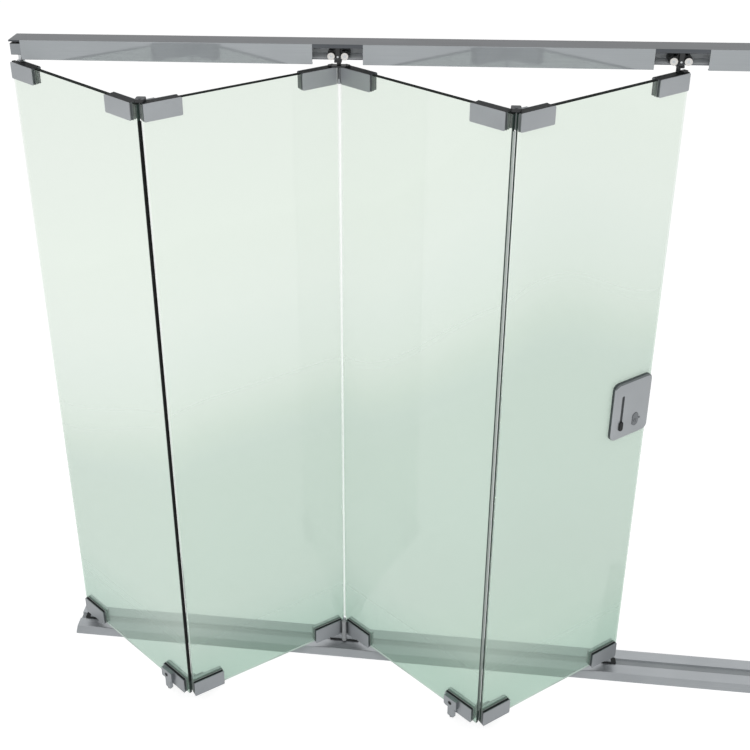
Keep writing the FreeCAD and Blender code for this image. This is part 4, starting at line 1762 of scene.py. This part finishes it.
@dataclass
class FloorTrack:
    """The low ramped sill with its guide groove."""

    half_length: float = 1425.0
    foot: float = 84.0
    toe: float = 2.0
    crest: float = 62.0
    crest_rounding: float = 2.0
    groove: float = 16.5
    groove_floor: float = 10.0
    lip_rounding: float = 0.8
    lip: float = 0.4

    def build(self, stock: Stock) -> None:
        """Extrude the sill, round its crests and lips, and line the groove.

        Args:
            stock: The finishes.
        """
        top = LAYOUT.track_top
        sill = Workpiece.section("sill", [
            (-self.foot, 0.0), (self.foot, 0.0), (self.foot, self.toe), (self.crest, top),
            (self.groove, top), (self.groove, self.groove_floor),
            (-self.groove, self.groove_floor), (-self.groove, top), (-self.crest, top),
            (-self.foot, self.toe),
        ], Axis.X, -self.half_length, self.half_length)
        for place, rounding, segments in ((self.crest, self.crest_rounding, 3),
                                          (self.groove, self.lip_rounding, 2)):
            sill.bevel(all_of(along(Axis.X), lying_at(Axis.Z, top),
                              lying_at(Axis.Y, -place, place)), rounding, segments)
        sill.dress(stock.track)
        toe = self.foot + TOUCH
        # The ramps are painted a little darker as shade.
        sill.dress_faces(stock.ramp_shade, any_of(between(Axis.Y, -toe, -self.crest),
                                            between(Axis.Y, self.crest, toe)))
        # The groove is painted darker as shade in the recess, as well as worn.
        sill.dress_faces(stock.groove, all_of(
            between(Axis.Y, -self.groove - TOUCH, self.groove + TOUCH),
            between(Axis.Z, self.toe, top - self.lip), across(Axis.X, LEANING)))
        sill.smooth().hand_in("track", "floor_track")
        # Its mirror image would darken the foot of the panes.
        sill.obj.visible_glossy = False


@dataclass
class GuideShoe:
    """A grey shoe that slides in the floor groove, with a black wiper round it."""

    word: str
    left: float
    right: float
    half_width: float = 15.5
    low: float = 10.0
    wiper: float = 4.0
    wiper_lift: float = 0.1
    wiper_drop: float = 0.5
    wiper_corner: float = 5.0
    wiper_rim: float = 1.0
    stop: float = 20.0
    shoe_lift: float = 2.0
    shoe_corner: float = 3.0
    shoe_rim: float = 0.8
    collar: float = 10.0
    collar_sunk: float = 1.0
    collar_rise: float = 5.0
    collar_chamfer: float = 1.5

    def build(self, stock: Stock) -> None:
        """Build the wiper, the shoe inside it and the collar round the pin.

        Args:
            stock: The finishes.
        """
        centre, high = LAYOUT.pivot_x(self.word), LAYOUT.shoe_top
        wiper = plate(
            f"guide_wiper_{self.word}",
            (centre - self.left, -self.half_width, self.low + self.wiper_lift),
            (centre + self.right, self.half_width, high - self.wiper_drop),
            Axis.Z, self.wiper_corner, self.wiper_rim,
        )
        wiper.dress(stock.black_plastic).smooth().hand_in("black_plastic")
        ends = [self.stop if self.word == side else self.wiper for side in ("start", "end")]
        shoe = plate(
            f"guide_shoe_{self.word}",
            (centre - self.left + ends[0], -self.half_width + self.wiper,
             self.low + self.shoe_lift),
            (centre + self.right - ends[1], self.half_width - self.wiper, high),
            Axis.Z, self.shoe_corner, self.shoe_rim,
        )
        collar = Workpiece.pin("collar", Axis.Z, (centre, 0.0), self.collar,
                               high - self.collar_sunk, high + self.collar_rise,
                               self.collar_chamfer)
        # The shoe takes the darker satin copy as painted shade.
        shoe.join(collar).dress(stock.satin_shaded).smooth().hand_in("steel")


@dataclass
class Pillar:
    """The round pillar in front of the middle joint at the floor."""

    radius: float = 9.6
    offset: float = 16.5
    foot: float = 1.5
    head: float = 2.0
    groove: float = 0.8
    groove_drop: float = 8.4
    half_groove: float = 0.6

    def build(self, stock: Stock) -> None:
        """Turn the pillar, with a groove near its head and a rounded foot.

        Args:
            stock: The finishes.
        """
        low, high, radius = LAYOUT.shoe_top, LAYOUT.bottom_patch[1], self.radius
        groove, half = high - self.groove_drop, self.half_groove
        pillar = Workpiece.turned("guide_pillar", [
            (0.0, low), (radius - self.foot, low), (radius, low + self.foot),
            (radius, groove - half), (radius - self.groove, groove), (radius, groove + half),
            (radius, high - self.head), (radius - self.head, high), (0.0, high),
        ], Axis.Z, (LAYOUT.pivot_x("middle"), -self.offset))
        pillar.dress(stock.pillar).smooth().hand_in("steel")


@dataclass
class Lock:
    """The lock on the last panel: a rounded case on the glass and a smaller plate behind it."""

    left: float = 510.0
    right: float = 686.0
    low: float = 1177.0
    high: float = 1413.0
    back_inset: float = 26.0
    corner: float = 24.0
    crown: float = 7.0
    crown_side: float = 1.0
    side_lean: float = 0.3
    top_lean: float = 0.25
    face: float = 22.0
    gasket: float = 1.4
    gasket_gap: float = 0.02
    gasket_inset: float = 1.0
    slot_x: float = 551.0
    slot: tuple[float, float] = (1234.0, 1360.0)
    half_slot: float = 6.0
    slot_depth: float = 3.0
    slot_round: float = 0.98
    liner_gap: float = 0.1
    liner_sunk: float = 0.8
    knob: tuple[float, float] = (9.0, 19.0)
    knob_proud: float = 5.0
    knob_edge: float = 1.6
    knob_round: float = 0.94
    key_x: float = 620.0
    key_z: float = 1241.0
    rose: tuple[float, float] = (14.0, 27.0)
    rose_proud: float = 2.0
    rose_corner: float = 13.6
    rose_edge: float = 0.9
    rose_rim: float = 2.2
    rose_sunk: float = 0.6
    plug: float = 8.0
    plug_drop: float = 6.0
    plug_proud: float = 0.6
    plug_deep: float = 1.6
    plug_chamfer: float = 0.5
    half_keyway: float = 1.1
    keyway: tuple[float, float] = (-11.0, -1.0)
    keyway_past: float = 3.0
    keyway_deep: float = 0.8
    button: float = 4.6
    button_x: float = 20.0
    button_proud: float = 1.8
    button_deep: float = 0.5
    button_chamfer: float = 0.8
    seated: float = 0.05

    def build(self, stock: Stock) -> None:
        """Build the cases, the slot and its slider, and the key cylinder.

        Args:
            stock: The finishes.
        """
        frame = LAYOUT.panel("four")
        glass, rim = LAYOUT.half_glass, self.gasket_inset
        for side, sign, inset in (("front", -1.0, 0.0), ("back", 1.0, self.back_inset)):
            left, right = self.left + inset, self.right - inset
            low, high = self.low + inset, self.high - inset
            ends = sorted((sign * self.face, sign * (glass + self.gasket)))
            case = Workpiece.block(f"lock_{side}", (left, ends[0], low), (right, ends[1], high))
            case.bevel(along(Axis.Y), self.corner, segments=10)
            case.bevel(lying_at(Axis.Y, sign * self.face), self.crown, segments=6)
            ends = sorted((sign * (glass + self.gasket_gap), sign * (glass + self.gasket)))
            seat = Workpiece.block(f"lock_{side}_gasket", (left + rim, ends[0], low + rim),
                                   (right - rim, ends[1], high - rim))
            seat.bevel(along(Axis.Y), self.corner - rim, segments=10)
            case.dress(stock.satin)
            if side == "front":
                case.cut(self._bar("slot", self.half_slot, self.slot_depth))
                # The case's top is painted darker as shade, and its sides as well.
                case.dress_faces(stock.core, facing(Axis.Z, 1.0, self.top_lean))
                case.dress_faces(stock.case_side, all_of(
                    across(Axis.Y, self.side_lean),
                    beyond(Axis.Y, -self.face + self.crown - self.crown_side)))
            case.install(frame, "fitting", *(["lock_case"] if side == "front" else []))
            seat.dress(stock.black_plastic).install(frame, "black_plastic")
        liner = self._bar("lock_liner", self.half_slot - self.liner_gap, -self.liner_sunk)
        liner.dress(stock.slot_liner).install(frame, "black_plastic")
        self._slider(stock).install(frame, "black_plastic", "lock_slider")
        self._key(frame, stock)

    def _bar(self, name: str, half: float, proud: float) -> Workpiece:
        """Return a bar with round ends along the slot.

        Args:
            name: The bar's name.
            half: Half its width.
            proud: How far it stands in front of the case.

        Returns:
            The bar.
        """
        bar = Workpiece.block(
            name, (self.slot_x - half, -self.face - proud, self.slot[0]),
            (self.slot_x + half, -self.face + self.slot_depth, self.slot[1]))
        return bar.bevel(along(Axis.Y), half * self.slot_round, segments=5)

    def _slider(self, stock: Stock) -> Workpiece:
        """Return the slider's knob, at the foot of its slot.

        Args:
            stock: The finishes.

        Returns:
            The knob.
        """
        foot, front = self.slot[0], -self.face - self.knob_proud
        half_width, half_height = self.knob
        knob = Workpiece.block(
            "lock_knob", (self.slot_x - half_width, front, foot - half_height),
            (self.slot_x + half_width, -self.face - self.seated, foot + half_height))
        knob.bevel(along(Axis.Y), half_width * self.knob_round, segments=6)
        knob.bevel(lying_at(Axis.Y, front), self.knob_edge, segments=3)
        return knob.dress(stock.black_plastic)

    def _key(self, frame: Frame, stock: Stock) -> None:
        """Build an oval rose with the key's plug on each face, and the small release button.

        Args:
            frame: Where the panel's own axes lie.
            stock: The finishes.
        """
        half_width, half_height = self.rose
        near = -self.face - self.rose_proud
        for side, turn in (("front", 0.0), ("back", 180.0)):
            rose = Workpiece.block(f"key_rose_{side}", (-half_width, near, -half_height),
                                   (half_width, -self.face + self.seated, half_height))
            rose.bevel(along(Axis.Y), self.rose_corner, segments=8)
            rose.bevel(lying_at(Axis.Y, near), self.rose_edge)
            rose.inset(all_of(facing(Axis.Y, -1.0), lying_at(Axis.Y, near)), self.rose_rim,
                       -self.rose_sunk)
            plug = Workpiece.pin(f"key_plug_{side}", Axis.Y, (0.0, -self.plug_drop), self.plug,
                                 near - self.plug_proud, near + self.plug_deep,
                                 self.plug_chamfer)
            plug.cut(Workpiece.block(
                "keyway", (-self.half_keyway, near - self.keyway_past, self.keyway[0]),
                (self.half_keyway, near + self.keyway_deep, self.keyway[1])))
            for piece, slot in ((rose, "dark_steel"), (plug, "steel")):
                piece.obj.rotation_euler = (0.0, 0.0, math.radians(turn))
                piece.apply_place()
                piece.move(self.key_x, 0.0, self.key_z).dress(stock.key_metal)
                is_first = side == "front" and piece is rose
                piece.install(frame, slot, *(["lock_cylinder"] if is_first else []))
        button = Workpiece.pin(
            "lock_button", Axis.Y, (self.key_x + self.button_x, self.key_z), self.button,
            -self.face - self.button_proud, -self.face + self.button_deep,
            self.button_chamfer)
        button.dress(stock.key_metal).install(frame, "dark_steel")


@dataclass
class FootBolt:
    """A foot bolt on the front of a bottom fitting: a case with a narrow nose below it."""

    word: str
    left: float = 554.0
    right: float = 614.0
    low: float = 84.0
    high: float = 128.0
    nose_left: float = 574.0
    nose_right: float = 604.0
    nose_low: float = 40.0
    back: float = -19.0
    front: float = -33.0
    corner: float = 4.0
    edge: float = 1.6
    thumb_turn: float = 7.4
    thumb_skirt: float = 8.4
    thumb_rise: float = 1.2
    dimple: float = 3.8
    dimple_rim: float = 4.6
    dimple_rise: float = 0.4
    rod: float = 6.5
    rod_low: float = 34.0
    rod_chamfer: float = 1.5
    rod_sunk: float = 2.0

    def build(self, stock: Stock, *nodes: str) -> None:
        """Build the case with its thumb turn, and the bolt's end.

        Args:
            stock: The finishes.
            nodes: The CAD nodes for the case and the bolt, where this bolt stands for them.
        """
        frame = LAYOUT.panel(self.word)
        case = Workpiece.section(f"foot_bolt_case_{self.word}", [
            (self.left, self.low), (self.nose_left, self.low), (self.nose_left, self.nose_low),
            (self.nose_right, self.nose_low), (self.nose_right, self.low),
            (self.right, self.low), (self.right, self.high), (self.left, self.high),
        ], Axis.Y, self.front, self.back)
        case.bevel(along(Axis.Y), self.corner, segments=4)
        case.bevel(lying_at(Axis.Y, self.front), self.edge, segments=3)
        # The case takes the darker satin copy as painted shade.
        case.dress(stock.satin_shaded).install(frame, "fitting", *nodes[:1])
        top, floor = self.front - self.thumb_rise, self.front - self.dimple_rise
        skirt = self.front + self.dimple_rise
        turn = Workpiece.turned(f"foot_bolt_turn_{self.word}", [
            (0.0, floor), (self.dimple, floor), (self.dimple_rim, top), (self.thumb_turn, top),
            (self.thumb_skirt, skirt), (0.0, skirt),
        ], Axis.Y, ((self.left + self.right) / 2, (self.low + self.high) / 2))
        turn.dress(stock.black_plastic).install(frame, "black_plastic")
        centre = ((self.nose_left + self.nose_right) / 2, (self.front + self.back) / 2)
        rod_top, chamfer = self.nose_low + self.rod_sunk, self.rod_chamfer
        bolt = Workpiece.turned(f"foot_bolt_{self.word}", [
            (0.0, self.rod_low), (self.rod - chamfer, self.rod_low),
            (self.rod, self.rod_low + chamfer), (self.rod, rod_top), (0.0, rod_top),
        ], Axis.Z, centre)
        bolt.dress(stock.black_metal).install(frame, "steel", *nodes[1:])


# Studio


@dataclass(frozen=True)
class Studio:
    """A pale floor, soft light and the camera at the photograph's angle.

    Lengths are metres here, but for the eye's place and the sensor, which are millimetres.
    """

    floor_size: float = 60.0
    floor_colour: str = "#EDEDED"
    floor_glow: float = 0.5
    floor_drop: float = 0.0005
    sky_light: float = 0.6
    key_power: float = 290.0
    key_size: float = 9.0
    key_place: Point = (-0.7, -7.4, 7.0)
    key_aim: Point = (0.0, 0.0, 1.0)
    sensor: float = 36.0
    sight: float = 200.0
    focal_pixels: float = 1130.414
    picture: float = 750.0
    principal: tuple[float, float] = (294.316, 238.285)
    pitch: float = 25.7071
    yaw: float = 8.8743
    roll: float = -1.6957
    eye: Point = (111.7, -3540.5, 3607.9)

    def build(self) -> None:
        """Set up the floor, the sky, the lamp and the camera."""
        bpy.context.scene.view_settings.view_transform = "Standard"
        self._floor()
        self._sky()
        self._lamp()
        self._camera()

    def _seen(self, tree: bpy.types.NodeTree) -> bpy.types.NodeSocket:
        """Return 1 for what the camera sees, directly, in a reflection or through glass.

        Args:
            tree: The node tree that the value is for.

        Returns:
            The value's socket.
        """
        path = add_node(tree, "LightPath").outputs
        mirrored = add_node(tree, "Math", {
            0: path["Is Camera Ray"], 1: path["Is Glossy Ray"],
        }, operation="MAXIMUM")
        seen = add_node(tree, "Math", {
            0: mirrored.outputs["Value"], 1: path["Is Transmission Ray"],
        }, operation="MAXIMUM")
        return seen.outputs["Value"]

    def _floor(self) -> None:
        """Lay a pale floor that stays white around the door's shadow."""
        deselect()
        bpy.ops.mesh.primitive_plane_add(size=self.floor_size,
                                         location=(0.0, 0.0, -self.floor_drop))
        floor = bpy.context.object
        floor.name = "floor"
        material, tree = new_material("pale_studio_floor")
        matt = add_node(tree, "BsdfDiffuse", {"Color": linear(self.floor_colour)})
        lift = add_node(tree, "Math", {
            0: self._seen(tree), 1: self.floor_glow,
        }, operation="MULTIPLY")
        glow = add_node(tree, "Emission", {"Strength": lift.outputs["Value"]})
        whole = add_node(tree, "AddShader", {
            0: matt.outputs["BSDF"], 1: glow.outputs["Emission"],
        })
        add_node(tree, "OutputMaterial", {"Surface": whole.outputs["Shader"]})
        floor.data.materials.append(material)

    def _sky(self) -> None:
        """Light the scene evenly, and show white behind it."""
        world = bpy.data.worlds.new("studio")
        bpy.context.scene.world = world
        world.use_nodes = True
        tree = world.node_tree
        tree.nodes.clear()
        strength = add_node(tree, "MapRange", {
            "Value": self._seen(tree), "To Min": self.sky_light, "To Max": 1.0,
        })
        sky = add_node(tree, "Background", {
            "Color": (1.0, 1.0, 1.0, 1.0), "Strength": strength.outputs["Result"],
        })
        add_node(tree, "OutputWorld", {"Surface": sky.outputs["Background"]})

    def _lamp(self) -> None:
        """Hang one large soft lamp above the front left."""
        light = bpy.data.lights.new("key", "AREA")
        light.shape = "RECTANGLE"
        light.size, light.size_y = self.key_size, self.key_size
        light.energy = self.key_power
        lamp = bpy.data.objects.new("key", light)
        lamp.location = self.key_place
        aim = Vector(self.key_aim) - Vector(self.key_place)
        lamp.rotation_euler = aim.to_track_quat("-Z", "Y").to_euler()
        # Its mirror image would show on metal as a bright patch.
        lamp.visible_glossy = False
        bpy.context.scene.collection.objects.link(lamp)

    def _camera(self) -> None:
        """Set the camera where the photograph was taken, with its framing."""
        data = bpy.data.cameras.new("camera")
        data.sensor_width = self.sensor
        data.lens = self.focal_pixels / self.picture * self.sensor
        centre = self.picture / 2
        data.shift_x = (centre - self.principal[0]) / self.picture
        data.shift_y = (self.principal[1] - centre) / self.picture
        data.clip_end = self.sight
        turns = (
            Matrix.Rotation(math.radians(self.roll), 3, "Z")
            @ Matrix.Rotation(math.radians(self.pitch), 3, "X")
            @ Matrix.Rotation(math.radians(self.yaw), 3, "Y")
        )
        to_picture = turns @ Matrix(((1, 0, 0), (0, 0, -1), (0, 1, 0)))
        camera = bpy.data.objects.new("camera", data)
        turned = to_picture.transposed() @ Matrix.Diagonal((1, -1, -1))
        camera.matrix_world = Matrix.Translation(Vector(self.eye) * MILLIMETRE) @ turned.to_4x4()
        bpy.context.scene.collection.objects.link(camera)
        bpy.context.scene.camera = camera


# The whole door


def build_panels(stock: Stock) -> None:
    """Hang the four panes with their seals and clamp fittings.

    Args:
        stock: The finishes.
    """
    # Panel four's wider arris widens the painted highlight on its left edge.
    for pane in (Pane("one", Edge.PALE, Edge.DARK), Pane("two", Edge.PALE, Edge.CLEAR),
                 Pane("three", Edge.CLEAR, Edge.DARK),
                 Pane("four", Edge.DARK, Edge.PALE, arris=2.4)):
        pane.build(stock)
    EdgeSeals().build(stock)
    far = LAYOUT.width - LAYOUT.patch_length
    for word in ("one", "three"):
        for level in ("top", "bottom"):
            Fitting(level, word, "start", LAYOUT.inner_inset).build(stock)
            Fitting(level, word, "end", far - LAYOUT.outer_far).build(stock)
    for word in ("two", "four"):
        for level in ("top", "bottom"):
            Fitting(level, word, "start", LAYOUT.outer_near).build(stock)
            Fitting(level, word, "end", far - LAYOUT.inner_inset).build(stock)


def build_hinges(stock: Stock) -> None:
    """Build the hinges of the outward corners and the barrels of the middle one.

    Args:
        stock: The finishes.
    """
    CornerHinge("first", "one", "two", LAYOUT.fold_first, LAYOUT.first_corner()).build(stock)
    CornerHinge("second", "three", "four", LAYOUT.fold_second,
                LAYOUT.second_corner()).build(stock)
    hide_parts("outer_hinges")
    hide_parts("hinge_caps")
    InnerBarrels().build(stock)


def build_pivots(stock: Stock) -> None:
    """Build the plates and pins that hang and guide the panels.

    Args:
        stock: The finishes.
    """
    fold, thick = (Arm.TWO, Arm.THREE), LAYOUT.pivot_plate
    high = LAYOUT.top_patch[1]
    for place, arms, hub in (("middle", fold, 24.0), ("end", (Arm.FOUR,), 0.0)):
        PivotPlate(f"hanger_{place}", f"hanger_plate_{place}", place, arms, high, high + thick,
                   high, LAYOUT.carriage_foot, LAYOUT.hanger_reach, hub).build(stock)
    low = LAYOUT.bottom_patch[0]
    # Each place has its arms, its hub's half length, and how far its shoe goes left and right.
    guides = {
        "start": ((Arm.ONE,), 0.0, 44.0, 14.0),
        "middle": (fold, 20.0, 60.0, 60.0),
        "end": ((Arm.FOUR,), 0.0, 14.0, 44.0),
    }
    for place, (arms, hub, left, right) in guides.items():
        PivotPlate(f"guide_{place}", f"floor_guide_{place}", place, arms, low - thick, low,
                   LAYOUT.shoe_top, low, LAYOUT.guide_reach, hub, hanging=False).build(stock)
        GuideShoe(place, left, right).build(stock)
    Pillar().build(stock)


def main() -> None:
    """Dress the door and set up the studio."""
    logging.basicConfig(level=logging.INFO, format="%(message)s")
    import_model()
    stock = Stock()
    build_panels(stock)
    build_hinges(stock)
    HeadRail().build(stock)
    RailCovers().build(stock)
    HeadPivot().build(stock)
    for word in ("middle", "end"):
        Carriage(word).build(stock)
    build_pivots(stock)
    FloorTrack().build(stock)
    Lock().build(stock)
    FootBolt("one").build(stock, "foot_bolt_cases", "foot_bolts")
    FootBolt("three").build(stock)
    Studio().build()


if __name__ == "__main__":
    main()
